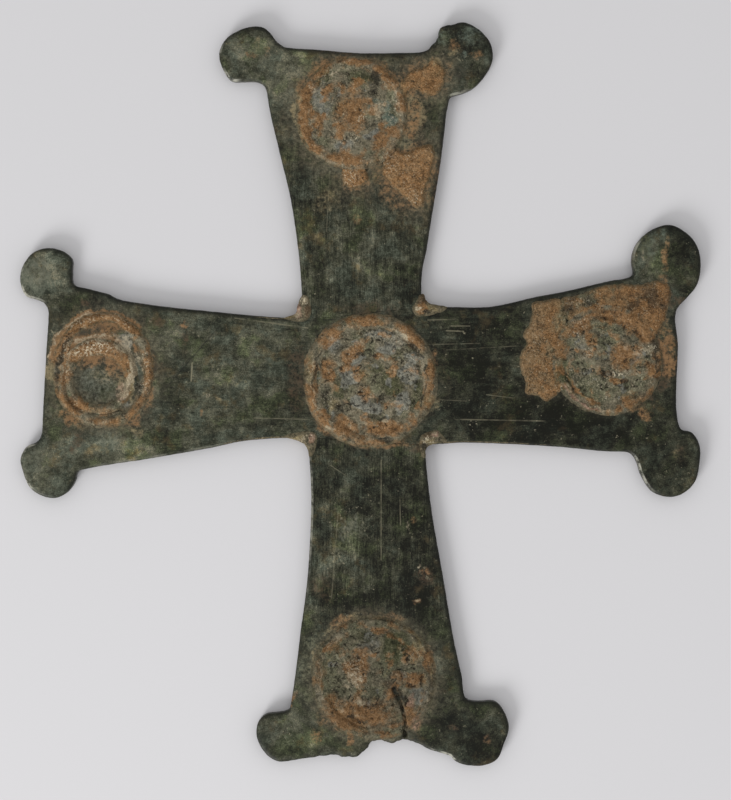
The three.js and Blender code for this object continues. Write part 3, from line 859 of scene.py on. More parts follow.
BOTTOM_SPOTS = (
    *arcs(Tone.VERDIGRIS, (15, 1, 128, 232, 1.2)),
    *arcs(
        Tone.SOOT,
        (13.6, 0.35, 120, 215, 0.4), (16.4, 0.35, -20, 60, 0.5), (18.2, 0.3, 60, 120, 0.5),
    ),
    *arcs(Tone.CREAM, (16.4, 0.3, 130, 210, 0.5)),
    *arcs(Tone.OCHRE, (17.4, 0.5, -8, 58, 0.9), (19.4, 0.5, 98, 172, 0.7)),
    # Painted sparkle
    *spots(
        Tone.SPARK,
        (-5.8, 1.6, 4.2, 5, 0.8), (-5.4, 0.4, 3, 3.4, 0.9, -20), (12.3, 5.8, 1.6, 4.4, 0.6),
        (-6.6, 46, 4.6, 6, 0.8), (-11.6, 36, 4, 4, 0.7), (16, 31, 2.6, 2.6, 0.7),
    ),
    *spots(
        Tone.RUST,
        (-5, 2.4, 3.6, 4, 1.1), (10.6, -11, 1.8, 5, 1, -12), (-9.9, 16.5, 4, 2, 0.7, 25),
        (4, 18.4, 7, 1.2, 0.45, -8), (15.9, 5.4, 1.7, 4.4, 0.85), (10.8, -0.3, 4.4, 2.4, 1, -15),
        (-16.6, 3, 1.6, 7.4, 0.5), (-5.4, 1.2, 2.6, 3, 0.95), (-3.6, 6.3, 1.5, 1.8, 0.9),
        (-4.8, -11.4, 11, 4.6, 1, 3), (-13, -7, 2.4, 3, 0.8, -20), (12.5, -13.8, 2.4, 3.2, 0.6, 20),
        (-17.3, -18, 2.1, 2.4, 0.75, -40), (-7.5, -18.9, 1, 1.8, 0.85), (34.4, -18.6, 1.3, 1.5, 0.5),
        (-24, -6, 0.8, 2.8, 0.8, -10), (15.6, 31.2, 1.2, 1.2, 0.8), (13.6, 22.8, 2, 0.9, 0.7, 10),
        (12.1, 47, 1.2, 1.2, 0.8),
    ),
    *spots(Tone.MOSS, (6.3, 9.4, 3.6, 5, 1.5, -10), (-1.8, 12.4, 2.6, 1.8, 0.9)),
    *spots(
        Tone.VERDIGRIS,
        (4, 3.4, 2.4, 4, 1, -10), (-13.8, 1.8, 2.2, 6.4, 1.3), (-19.5, 3.9, 2.6, 13, 0.55, -4),
        (-5.2, 14.1, 2.9, 2.1), (3, 15.6, 3.2, 1.1, 0.9, -6), (5.7, 7.5, 4.3, 5.8),
        (12.3, 2.1, 1.6, 2, 0.8), (-13.2, -1.2, 1.5, 6, 1, 14), (-9.3, 6.2, 3, 4.6, 0.7),
        (5.1, -16.2, 3.4, 1.6, 0.9, 15), (-14.4, 36.6, 4.6, 3.8, 0.4),
    ),
    *spots(Tone.SOOT, (-2.4, 8.6, 2.4, 1.8, 0.4, 20), (7.2, -4.6, 1.8, 1.8, 0.9, 25)),
    *spots(
        Tone.SLATE,
        (12.6, -4.4, 1.4, 1.2, 1.2), (-1.5, 9.6, 3.4, 2, 0.7), (11.4, -3.6, 1, 0.7, 0.8),
        (14.4, -5.9, 2, 1.4, 0.9),
    ),
    *spots(
        Tone.UMBER,
        (16.6, 2, 1.6, 9, 0.5, 8), (5, -3, 2.6, 2.6, 0.7), (34.4, -18.6, 1.4, 1.8),
        (23.4, -14.7, 1.8, 1.2, 0.8), (15, 30, 3, 2.4, 0.8), (-15.2, 28, 4, 6, 0.6),
    ),
    *spots(Tone.OCHRE, (12.3, 7.8, 1.8, 3.9, 0.95), (-7.2, 44.7, 2.6, 3.4, 0.3)),
    *spots(
        Tone.CREAM,
        (-5.6, 0.4, 2.2, 2.8, 0.65, -25), (-8.4, -3, 1, 0.9, 0.9), (-3.8, -6.8, 1.4, 1, 0.9),
        (-10.6, 12.6, 1.3, 1.2, 0.6), (-23.8, -4.4, 0.7, 1.2, 0.6), (13.9, 33, 0.7, 0.7),
        (13.6, 23, 1.4, 0.6, 0.6, 10), (10.1, 45.4, 0.4, 1.8, 0.8, 20),
    ),
    *spots(Tone.PINK, (12.5, -13.8, 2.2, 3, 0.5, 20), (11.4, -6.6, 1.3, 2.4, 0.8)),
    *spots(Tone.PALE, (-27, -16.5, 6.5, 5, 0.4), (-7.2, 44.7, 4, 4.4, 0.8)),
    # Painted highlights on the lobes' edges
    *spots(Tone.GLINT, (18.2, -17.8, 2.6, 2.6), (23.6, -22.6, 2.6, 2.2), (-17.6, 40, 2.4, 34, 0.45, 4)),
)

CRUSTS = (
    Crust(
        "crust_right_arm",
        "right",
        1.25,
        (
            (-22.5, 17.3), (-22.6, 14.5), (-23.5, 11.1), (-25.3, 7.7), (-24.5, 4.9), (-26.3, 0.9),
            (-26.1, -2.5), (-24.5, -6.5), (-24.7, -9.8), (-20.8, -10.7), (-18, -12.2), (-14, -8.5),
            (-13.5, -3), (-13.5, 3), (-12.6, 12), (-14.4, 18.2), (-18, 18.1),
        ),
    ),
    Crust(
        "crust_right_top",
        "right",
        0.95,
        (
            (-12, 12.4), (-7.5, 12.5), (-2.3, 13.6), (4, 13.2), (11, 9), (15.2, 8.6), (18.1, 15.3),
            (19, 19.5), (17.8, 23.1), (14.2, 24), (9.7, 22.8), (4.3, 23.1), (-2.3, 22.2), (-9.2, 19.6),
            (-13.8, 18.4),
        ),
    ),
    Crust(
        "crust_top_shoulder",
        "top",
        1,
        (
            (24.2, 16.2), (21.5, 13.5), (18.3, 13), (16, 10.9), (14.6, 8), (16, 6), (18.9, 7),
            (22, 5.1), (25.2, 5.4), (27.3, 7.7), (28.2, 12), (26.7, 14.6),
        ),
    ),
    Crust(
        "crust_top_foot",
        "top",
        1.15,
        (
            (9.3, -15.5), (9.9, -13.4), (11.7, -12.8), (13.5, -11.3), (15.9, -11.9), (18.9, -10.7),
            (22.8, -9.5), (24.6, -10.4), (24.9, -13.4), (23.7, -18.5), (21.9, -23.9), (21.6, -27.2),
            (19.5, -28.7), (17.1, -26.9), (15.3, -24.8), (12.9, -23), (10.8, -20.6), (9.3, -18.5),
        ),
    ),
    Crust(
        "crust_top_middle",
        "top",
        0.9,
        (
            (-2.7, -16.6), (-0.6, -15.4), (2.4, -15.8), (4.5, -17.6), (4.8, -20), (3, -21.8),
            (1.2, -22.8), (-1.2, -22.4), (-2.9, -20),
        ),
    ),
)

SHADES = each(
    Shade,
    (-45, 2, 22, 16, 0.24), (-97, 32, 9, 9, 0.62), (-97, -28, 9, 9, 0.4), (-32, 97, 10, 8, 0.5),
    (-22, 84, 5, 12, 0.4), (31, 98, 7, 8, -0.32), (-4, 40, 14, 16, 0.2), (12, 58, 5, 30, -0.3),
    (34, 0, 18, 22, -0.48), (60, -14, 22, 8, -0.45), (0, -45, 18, 26, -0.25), (92, -26, 10, 9, -0.3),
    (85.5, 37, 4, 8, 0.3), (95.5, 38, 6, 7, -0.3), (-6, -48, 9, 14, 0.22), (8, -38, 9, 12, -0.2),
    (15, -60, 6, 22, -0.3), (-28, -106, 11, 8, 0.3), (33, -107, 10, 8, -0.3), (20, -97, 8, 8, -0.3),
    (0, -67, 18, 5, -0.35), (-77, -21, 16, 4.5, 0.35), (-20, 62, 6, 9, -0.15), (-36, 14, 16, 5, 0.1),
)

BREAK_CRACK = Crack(((6.0, -3.4), (8.2, -8.2), (9.2, -12.5), (9.4, -17.7)), 0.75, 2.2)


def marks() -> dict[str, Mark]:
    """The five marks by name, read from the frame.

    Returns:
        The marks.
    """
    made = (
        Mark("centre", 0.3, 0.45, CENTRE_SPOTS, halo=0.5, halo_reach=1.8, dim=0.02),
        Mark("top", 0.45, 0.35, TOP_SPOTS, flaky=0.6, halo=1.0, halo_reach=6.0, ring_rust=0.0),
        Mark(
            "left", 0.45, 0.35, LEFT_SPOTS, groove=0.8, flaky=0.4, halo=0.9, halo_reach=4.2,
            ring_rust=0.1,
        ),
        Mark(
            "bottom", 0.42, 0.5, BOTTOM_SPOTS, (BREAK_CRACK,), halo=0.9, halo_reach=3.0, dim=0.3,
            ring_rust=0.0,
        ),
        Mark("right", 0.38, 0.5, RIGHT_SPOTS, halo=0.4, halo_reach=1.6, dim=0.1, ring_rust=0.2),
    )
    return {mark.name: mark for mark in made}


# The shape and tones of the front


@dataclass
class Relief:
    """How high the front stands and what covers it, at any place."""

    marks: dict[str, Mark]
    upright: Array
    cross_bar: Array
    edge_round: float = 1.0
    lobe_round: float = 2.0
    edge_drop: float = 0.75
    lobes_from: float = 80.0
    swell: float = 0.08
    noise: Noise = Noise(11)

    def __post_init__(self) -> None:
        """Find each bar's edge, and the cross's own edge, which neither bar covers."""
        bars = (self.upright, self.cross_bar)
        samples = [resampled(loop, EDGE_STEP) for loop in bars]
        free = [~inside(bars[1], samples[0]), ~inside(bars[0], samples[1])]
        self.union = Nearest(np.concatenate([one[keep] for one, keep in zip(samples, free)]))
        self.ways = np.concatenate([outward(one)[keep] for one, keep in zip(samples, free)])
        self.upright_edge = Nearest(samples[0])
        self.cross_edge = Nearest(samples[1])

    def depth(self, points: Array) -> Array:
        """How far each point of the front is from the cross's edge."""
        return self.union.distance(points)

    def turned_away(self, points: Array) -> Array:
        """How far the nearest edge faces up and right, away from the light, from -1 to 1."""
        return self.ways[self.union.number(points)] @ np.array([0.5, 0.87])

    def on_cross(self, points: Array) -> Array:
        """Which points lie on either bar."""
        return inside(self.upright, points) | inside(self.cross_bar, points)

    def bronze(self, points: Array, depth: Array) -> Array:
        """How far the bronze stands above or below the plate's level.

        Args:
            points: The places.
            depth: How far in from the edge each is.

        Returns:
            The heights.
        """
        height = self.swell * self.noise.fractal(points, 16.0)
        height += 0.03 * self.noise.fractal(points + 50.0, 3.6)
        near = Noise(5).from_middle(points, 3.1)
        pitted = smoothstep(0.35, 0.75, self.noise.fractal(points + 90.0, 11.0))
        height -= (0.04 + 0.1 * pitted) * smoothstep(0.22, 0.0, near)
        height -= self.rounding(points, depth)
        for mark in self.marks.values():
            for crack in mark.cracks:
                height -= crack.drop(points, mark.centre)
        return height

    def rounding(self, points: Array, depth: Array) -> Array:
        """How far the worn edge has dropped.

        Args:
            points: The places.
            depth: How far in from the edge each is.

        Returns:
            The drops.
        """
        out = np.hypot(points[:, 0], points[:, 1])
        lobes = smoothstep(self.lobes_from, self.lobes_from + 14.0, out)
        across = self.edge_round + (self.lobe_round - self.edge_round) * lobes
        across *= 1.0 + 0.25 * self.noise.fractal(points + 20.0, 7.0)
        share = np.clip(1.0 - depth / across, 0.0, 1.0)
        return self.edge_drop * (1.0 - np.sqrt(1.0 - share**2 * 0.999))

    def seam(self, points: Array) -> Array:
        """How far the front dips where the two bars meet."""
        return 0.04 * np.exp(-((self.cross_edge.distance(points) / 0.3) ** 2))

    def tones(self, points: Array) -> dict[Tone, Array]:
        """How much of each tone covers each point.

        Args:
            points: The places.

        Returns:
            The covers by tone.
        """
        places = self.wandered(points)
        made = {tone: np.zeros(len(points)) for tone in Tone}
        for mark in self.marks.values():
            for patch in mark.patches:
                cover = patch.cover(places, mark.centre)
                made[patch.tone] = np.maximum(made[patch.tone], cover)
                if isinstance(patch, Plate):
                    # Painted shade: a dark line at the foot of each plate's edge, laid with the dark
                    # spots' tone
                    broken = smoothstep(-0.1, 0.45, Noise(109).fractal(points, 3.0, 2))
                    foot = patch.foot(places, mark.centre) * broken
                    made[Tone.SOOT] = np.maximum(made[Tone.SOOT], 0.75 * foot)
        return made

    def wandered(self, points: Array) -> Array:
        """Points moved about, so that the spots drawn on them have natural outlines."""
        return Noise(37).warp(Noise(31).warp(points, 5.0, 1.7), 1.7, 0.8)

    def deposit(self, points: Array, free: Array, ramp: float) -> tuple[Array, Array]:
        """The height of rims, beds and crusts above the plate.

        Args:
            points: The places.
            free: How far each is from the deposits' free edge.
            ramp: How far in from that edge the full height is reached.

        Returns:
            The heights, and how each grain stands against its neighbours, from -1 to 1.
        """
        body = np.full(len(points), 0.8)
        flaky = np.full(len(points), 0.3)
        for crust in CRUSTS:
            near = self.near_crust(crust, points)
            body = np.where(near, crust.height - 0.25, body)
        for mark in self.marks.values():
            out, angle = mark.polar(points)
            outer = mark.reach(mark.rim_loops[0], angle)
            inner = mark.reach(mark.rim_loops[1], angle)
            share = (out - inner) / (outer - inner)
            rim = (mark.rim.top - PLATE) * (0.62 + 0.3 * np.sin(math.pi * np.clip(share, 0, 1)))
            bed = (mark.bed.top - PLATE) * 0.72
            groove = mark.groove * (0.4 + 0.6 * smoothstep(-0.4, 0.5, self.noise.smooth(points, 6.0)))
            level = np.where(share > 0, rim, bed)
            level -= groove * 0.9 * np.exp(-(((out - inner) / 0.8) ** 2))
            within = smoothstep(1.0, -0.6, out - outer)
            body = body + (level - body) * within
            flaky = np.maximum(flaky, smoothstep(0.6, -1.0, out - inner) * mark.flaky)
        layer, foot = self.layers(points)
        lumps = Noise(47).fractal(points, 4.2, 3)
        rough = Noise(49).fractal(points, 1.6, 3)
        wrinkles = self.wrinkles(points)
        grain = 0.6 * rough + 0.35 * wrinkles + flaky * (0.3 * layer - 0.75 * foot)
        height = body + 0.16 * lumps + 0.15 * rough + 0.14 * wrinkles
        height += flaky * (0.3 * layer - 0.12 * foot)
        places = self.wandered(points)
        for mark in self.marks.values():
            for patch in mark.patches:
                if patch.tone is Tone.SOOT and isinstance(patch, Patch):
                    height -= 0.45 * patch.cover(points, mark.centre)
                if isinstance(patch, Plate):
                    height += patch.rise * patch.cover(places, mark.centre)
            for crack in mark.cracks:
                height -= 0.7 * crack.drop(points, mark.centre)
        height = np.maximum(height, 0.1)
        return height * smoothstep(0.0, ramp, free) + 0.02, np.clip(grain * 1.2, -1, 1)

    def layers(self, points: Array) -> tuple[Array, Array]:
        """How the deposits have flaked off in layers.

        Args:
            points: The places.

        Returns:
            The layer left at each point, from -1 to 1, and how near the foot of a step it is.
        """
        left = Noise(41).fractal(Noise(42).warp(points, 1.6, 0.5), 5.0, 3)
        steps = (-0.28, 0.02, 0.3)
        layer = sum(smoothstep(step - 0.03, step + 0.03, left) for step in steps)
        foot = sum(smoothstep(step - 0.12, step - 0.03, left) * (left < step) for step in steps)
        broken = smoothstep(-0.2, 0.5, Noise(45).fractal(points, 3.5, 2))
        return layer * 2 / len(steps) - 1.0, foot * broken

    def wrinkles(self, points: Array) -> Array:
        """Ridges that run round the nearest mark, from about -1 to 1.

        Args:
            points: The places.

        Returns:
            The ridges.
        """
        ridges = np.zeros(len(points))
        for index, mark in enumerate(self.marks.values()):
            out, angle = mark.polar(points)
            outer = mark.reach(mark.rim_loops[0], angle)
            share = smoothstep(0.45, 0.8, out / outer) * smoothstep(1.25, 1.0, out / outer)
            wander = out + 1.1 * Noise(50 + index).smooth(points, 7.0)
            around = np.stack([wander, np.cos(angle) * 2.6, np.sin(angle) * 2.6], axis=1)
            folded = Noise(51 + index).fractal(around[:, [0, 1]] + around[:, [2, 2]] * 0.8, 1.5, 2)
            ridges += share * folded
        return ridges

    def near_crust(self, crust: Crust, points: Array) -> Array:
        """Which points lie in a crust's own drawn outline."""
        loop = np.array(crust.points) + self.marks[crust.mark].centre
        return inside(loop, points)


# Meshes


def hexagonal(loop: Array, step: float) -> Array:
    """Points on a triangular grid over the box round a loop.

    Args:
        loop: The loop's points.
        step: How far apart the points are.

    Returns:
        The points.
    """
    low, high = loop.min(axis=0), loop.max(axis=0)
    rows = np.arange(low[1], high[1], step * math.sqrt(0.75))
    made = []
    for index, up in enumerate(rows):
        across = np.arange(low[0], high[0], step) + (index % 2) * step / 2
        made.append(np.stack([across, np.full(len(across), up)], axis=1))
    return np.concatenate(made)


def triangulated(loops: Sequence[Array], extra: Array) -> tuple[Array, Array]:
    """Fill loops with triangles through extra points.

    Args:
        loops: The outer loop, then any holes.
        extra: Points inside.

    Returns:
        All the points, loops first, and the triangles, anticlockwise.
    """
    points = np.concatenate([*loops, extra])
    edges = []
    first = 0
    for loop in loops:
        count = len(loop)
        edges += [(first + i, first + (i + 1) % count) for i in range(count)]
        first += count
    made = geometry.delaunay_2d_cdt([Vector(p) for p in points], edges, [], 1, 1e-7, False)
    if len(made[0]) != len(points):
        raise ValueError("a loop crosses itself")
    faces = np.array([face[:] for face in made[2]])
    middles = points[faces].mean(axis=1)
    keep = inside(loops[0], middles)
    for hole in loops[1:]:
        keep &= ~inside(hole, middles)
    faces = faces[keep]
    one, two, three = (points[faces[:, k]] for k in range(3))
    side, other = two - one, three - one
    turned = side[:, 0] * other[:, 1] - side[:, 1] * other[:, 0] < 0
    faces[turned] = faces[turned][:, ::-1]
    return points, faces


@dataclass
class Sheet:
    """A closed solid between a fine upper face and a coarser lower one."""

    loops: list[Array]
    upper: Array
    lower: Array
    rings: int = 0
    bulge: float = 0.0
    noise: Noise = Noise(3)

    def build(
        self, upper_height: Callable[[Array], Array], lower_height: Callable[[Array], Array]
    ) -> tuple[Array, Array, int]:
        """Fill both faces and join them with a wall.

        Args:
            upper_height: Gives the height of points of the upper face.
            lower_height: Gives the height of points of the lower face.

        Returns:
            The corners, the triangles, and how many corners belong to the upper face.
        """
        top, top_faces = triangulated(self.loops, self.upper)
        base, base_faces = triangulated(self.loops, self.lower)
        top_z, base_z = upper_height(top), lower_height(base)
        corners = [np.column_stack([top, top_z])]
        faces = [top_faces]
        count = len(top)
        rim = sum(len(loop) for loop in self.loops)
        pushed = np.concatenate([outward(self.loops[0]), *(-outward(h) for h in self.loops[1:])])
        edge = np.concatenate(self.loops)
        levels = [np.arange(rim)]
        for ring in range(self.rings):
            share = (ring + 1) / (self.rings + 1)
            level = top_z[:rim] + (base_z[:rim] - top_z[:rim]) * share
            rough = self.noise.fractal(edge + 13.0 * ring, 2.2) + 0.4
            move = self.bulge * rough * math.sin(math.pi * share)
            corners.append(np.column_stack([edge + pushed * move[:, None], level]))
            levels.append(count + np.arange(rim))
            count += rim
        corners.append(np.column_stack([base, base_z]))
        faces.append(base_faces[:, ::-1] + count)
        levels.append(count + np.arange(rim))
        following = self._following()
        for high, low in zip(levels, levels[1:]):
            faces.append(np.column_stack([high, low, low[following]]))
            faces.append(np.column_stack([high, low[following], high[following]]))
        return np.concatenate(corners), np.concatenate(faces), len(top)

    def _following(self) -> Array:
        """The number of the next corner along each loop, with the solid on its left.

        Returns:
            The numbers.
        """
        made = []
        first = 0
        for index, loop in enumerate(self.loops):
            anticlockwise = area(loop) > 0
            step = 1 if anticlockwise == (index == 0) else -1
            made.append(first + (np.arange(len(loop)) + step) % len(loop))
            first += len(loop)
        return np.concatenate(made)


def new_piece(
    name: str, corners: Array, faces: Array, fields: dict[str, Array], sharp: int = 0
) -> Piece:
    """Make a mesh object, in metres, with its number fields as attributes.

    Args:
        name: The piece's name.
        corners: The corners in millimetres.
        faces: The triangles.
        fields: Attribute names with a value for each corner.
        sharp: How many of the first corners lie on edges that aren't shaded smooth.

    Returns:
        The new object, linked to the scene.
    """
    mesh = bpy.data.meshes.new(name)
    mesh.vertices.add(len(corners))
    mesh.vertices.foreach_set("co", (corners * METRES).astype(np.float32).ravel())
    mesh.loops.add(faces.size)
    mesh.loops.foreach_set("vertex_index", faces.astype(np.int32).ravel())
    mesh.polygons.add(len(faces))
    mesh.polygons.foreach_set("loop_start", np.arange(0, faces.size, 3, dtype=np.int32))
    mesh.polygons.foreach_set("use_smooth", np.ones(len(faces), bool))
    mesh.update(calc_edges=True)
    for label, values in fields.items():
        attribute = mesh.attributes.new(label, "FLOAT", "POINT")
        attribute.data.foreach_set("value", values.astype(np.float32))
    if sharp:
        pairs = np.zeros(2 * len(mesh.edges), np.int32)
        mesh.edges.foreach_get("vertices", pairs)
        crisp = (pairs.reshape(-1, 2) < sharp).all(axis=1)
        mesh.attributes.new("sharp_edge", "BOOLEAN", "EDGE").data.foreach_set("value", crisp)
    piece = bpy.data.objects.new(name, mesh)
    bpy.context.scene.collection.objects.link(piece)
    return piece


def settle(piece: Piece, finish: Material, slot: Slot, *nodes: str) -> Piece:
    """Give a finished piece its material and body, and hide the CAD nodes that it replaces.

    Args:
        piece: The piece.
        finish: Its material.
        slot: Its slot; not used.
        nodes: The CAD nodes that it replaces.

    Returns:
        The same piece.
    """
    piece.data.materials.clear()
    piece.data.materials.append(finish)
    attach(piece, BODY)
    if nodes:
        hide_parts(*nodes)
    LOG.info("%s: %d faces", piece.name, len(piece.data.polygons))
    return piece


# Deposits


class Kind(Enum):
    """The kinds of deposit, with the slot each takes."""

    RIM = Slot.RIM
    BED = Slot.BED
    CRUST = Slot.CRUST


@dataclass
class Deposit:
    """One rim, bed or crust: the ground that it covers and how high it may stand."""

    node: str
    kind: Kind
    mark: Mark
    loops: list[Array]
    top: float
    grid: float = 0.27
    base_grid: float = 1.4
    skirt: float = 0.12

    def solid(self, relief: Relief, free: Nearest) -> tuple[Array, Array, int, dict]:
        """Build the deposit's closed mesh.

        Args:
            relief: The shape of the front.
            free: The free edge of all the deposits.

        Returns:
            The corners, the triangles, how many corners the upper face has, and the fields.
        """
        own = Nearest(np.concatenate(self.loops))
        upper = self._filled(self.grid, own)
        lower = self._filled(self.base_grid, own)
        seen: dict[str, Array] = {}

        def upper_height(points: Array) -> Array:
            """The level of the crusty face at each point, which also keeps what it shows.

            Args:
                points: The places.

            Returns:
                The levels.
            """
            depth, clear = relief.depth(points), free.distance(points)
            ramp = 1.1 if self.kind is Kind.CRUST else 1.5
            height, seen["peak"] = relief.deposit(points, clear, ramp)
            seen["thin"] = smoothstep(ramp + 0.1, 0.15, clear)
            return np.minimum(PLATE + relief.bronze(points, depth) + height, self.top)

        def lower_height(points: Array) -> Array:
            """The level of the face sunk in the bronze at each point."""
            depth = relief.depth(points)
            return PLATE + relief.bronze(points, depth) - self.skirt

        corners, faces, count = Sheet(self.loops, upper, lower).build(upper_height, lower_height)
        fields = field_values(relief, corners[:, :2], self.kind)
        for label, values in seen.items():
            fields[label] = np.concatenate([values, np.zeros(len(corners) - count)])
        fields["dim"] = np.full(len(corners), self.mark.dim)
        return corners, faces, count, fields

    def _filled(self, step: float, own: Nearest) -> Array:
        """Grid points in the deposit that keep clear of its edge.

        Args:
            step: How far apart the points are.
            own: The deposit's edge.

        Returns:
            The points.
        """
        points = hexagonal(self.loops[0], step)
        keep = inside(self.loops[0], points)
        for hole in self.loops[1:]:
            keep &= ~inside(hole, points)
        points = points[keep]
        return points[own.distance(points) > CLEAR_SHARE * step]


def field_values(relief: Relief, points: Array, kind: Kind | None) -> dict[str, Array]:
    """The tones at each point by attribute name, with more rust on rims and crusts.

    Args:
        relief: The front.
        points: The places.
        kind: The kind of deposit, or None on bare metal and solder.

    Returns:
        The values by the name of the attribute.
    """
    tones = relief.tones(points)
    if kind is None:
        return {tone.value: values for tone, values in tones.items()}
    loose = {Kind.RIM: 0.5, Kind.BED: 1.0, Kind.CRUST: 0.3}[kind]
    turned = relief.wrinkles(points)
    layer, foot = relief.layers(points)
    rusty = 0.9 * Noise(61).fractal(points, 5.2, 5)
    greenish = 0.9 * Noise(67).fractal(points, 6.4, 5)
    ochre = 0.2 + 0.9 * Noise(71).fractal(points, 3.6, 4) + 0.2 * turned
    slate = Noise(73).fractal(Noise(42).warp(points, 2.0, 0.5), 4.4, 4) - 0.2 * layer
    cream = Noise(79).fractal(points, 1.5, 3)
    for mark in relief.marks.values():
        out, angle = mark.polar(points)
        near = smoothstep(12.0, 4.0, out - mark.reach(mark.rim_loops[0], angle))
        lean = {Kind.RIM: mark.ring_rust, Kind.BED: -0.1, Kind.CRUST: 0.3}[kind]
        rust = mark.rust + lean + rusty + 0.4 * turned
        rust += 0.45 * loose * layer
        green = mark.verdigris - lean / 2 + greenish
        green -= 0.3 * turned + 0.3 * loose * layer
        for tone, value in (
            (Tone.RUST, 0.9 * smoothstep(0.2, 1.0, rust)),
            (Tone.VERDIGRIS, 0.75 * smoothstep(0.25, 1.0, green)),
            (Tone.OCHRE, 0.6 * smoothstep(0.3, 1.0, ochre)),
            (Tone.SLATE, loose * 0.9 * smoothstep(0.38, 0.5, slate)),
            (Tone.CREAM, 0.85 * smoothstep(0.5, 0.72, cream)),
            # Painted shade at the foot of each flaked step
            (Tone.SOOT, loose * 0.6 * foot),
        ):
            tones[tone] = np.maximum(tones[tone], near * value)
    return {tone.value: values for tone, values in tones.items()}


def planned(relief: Relief) -> tuple[list[Deposit], Nearest]:
    """Lay out every deposit's ground, closed up against its neighbours and ragged elsewhere.

    Args:
        relief: The front, with its marks.

    Returns:
        The deposits, and the free edge of all of them together.
    """
    made = []
    for mark in relief.marks.values():
        rim = [resampled(loop, LOOP_STEP) for loop in mark.rim_loops]
        bed = [resampled(loop, LOOP_STEP) for loop in mark.bed_loops]
        made.append(Deposit(f"rim_solder_{mark.name}", Kind.RIM, mark, rim, mark.rim.top))
        made.append(Deposit(f"boss_bed_{mark.name}", Kind.BED, mark, bed, mark.bed.top))
    for crust in CRUSTS:
        mark = relief.marks[crust.mark]
        loop = resampled(np.array(crust.points) + mark.centre, LOOP_STEP)
        loops = [kept_on(relief, beside_rim(mark, loop))]
        made.append(Deposit(crust.node, Kind.CRUST, mark, loops, CadNode(crust.node).top))
    before = [list(deposit.loops) for deposit in made]
    free = []
    for index, deposit in enumerate(made):
        others = [loop for k, loops in enumerate(before) if k != index for loop in loops]
        gap = Nearest(np.concatenate(others))
        for k, loop in enumerate(deposit.loops):
            open_edge = smoothstep(0.7, 1.3, gap.distance(loop))
            ragged = 0.42 * Noise(83).fractal(loop, 3.2) + 0.16 * Noise(89).smooth(loop, 0.9)
            move = 0.14 * (1.0 - open_edge) + ragged * open_edge
            way = outward(loop) if k == 0 else -outward(loop)
            deposit.loops[k] = loop + way * move[:, None]
            free.append(deposit.loops[k][open_edge > 0.6])
    return made, Nearest(np.concatenate(free))


def beside_rim(mark: Mark, loop: Array) -> Array:
    """Push a crust's outline out of its mark's disc.

    Args:
        mark: The mark.
        loop: The outline.

    Returns:
        The outline, moved.
    """
    out, angle = mark.polar(loop)
    least = mark.reach(mark.rim_loops[0], angle) + 0.02
    scale = np.maximum(out, least) / out
    return mark.centre + (loop - mark.centre) * scale[:, None]


def kept_on(relief: Relief, loop: Array, margin: float = 0.7) -> Array:
    """Draw an outline back until it lies on the cross, clear of the edge.

    Args:
        relief: The front.
        loop: The outline, which is moved in place.
        margin: How clear of the edge it has to be.

    Returns:
        The outline.
    """
    middle = loop.mean(axis=0)
    for _ in range(24):
        off = (relief.depth(loop) < margin) | ~relief.on_cross(loop)
        if not off.any():
            break
        way = middle - loop[off]
        loop[off] += 0.2 * way / np.linalg.norm(way, axis=1)[:, None]
    return loop


# Bars, solder and small deposits


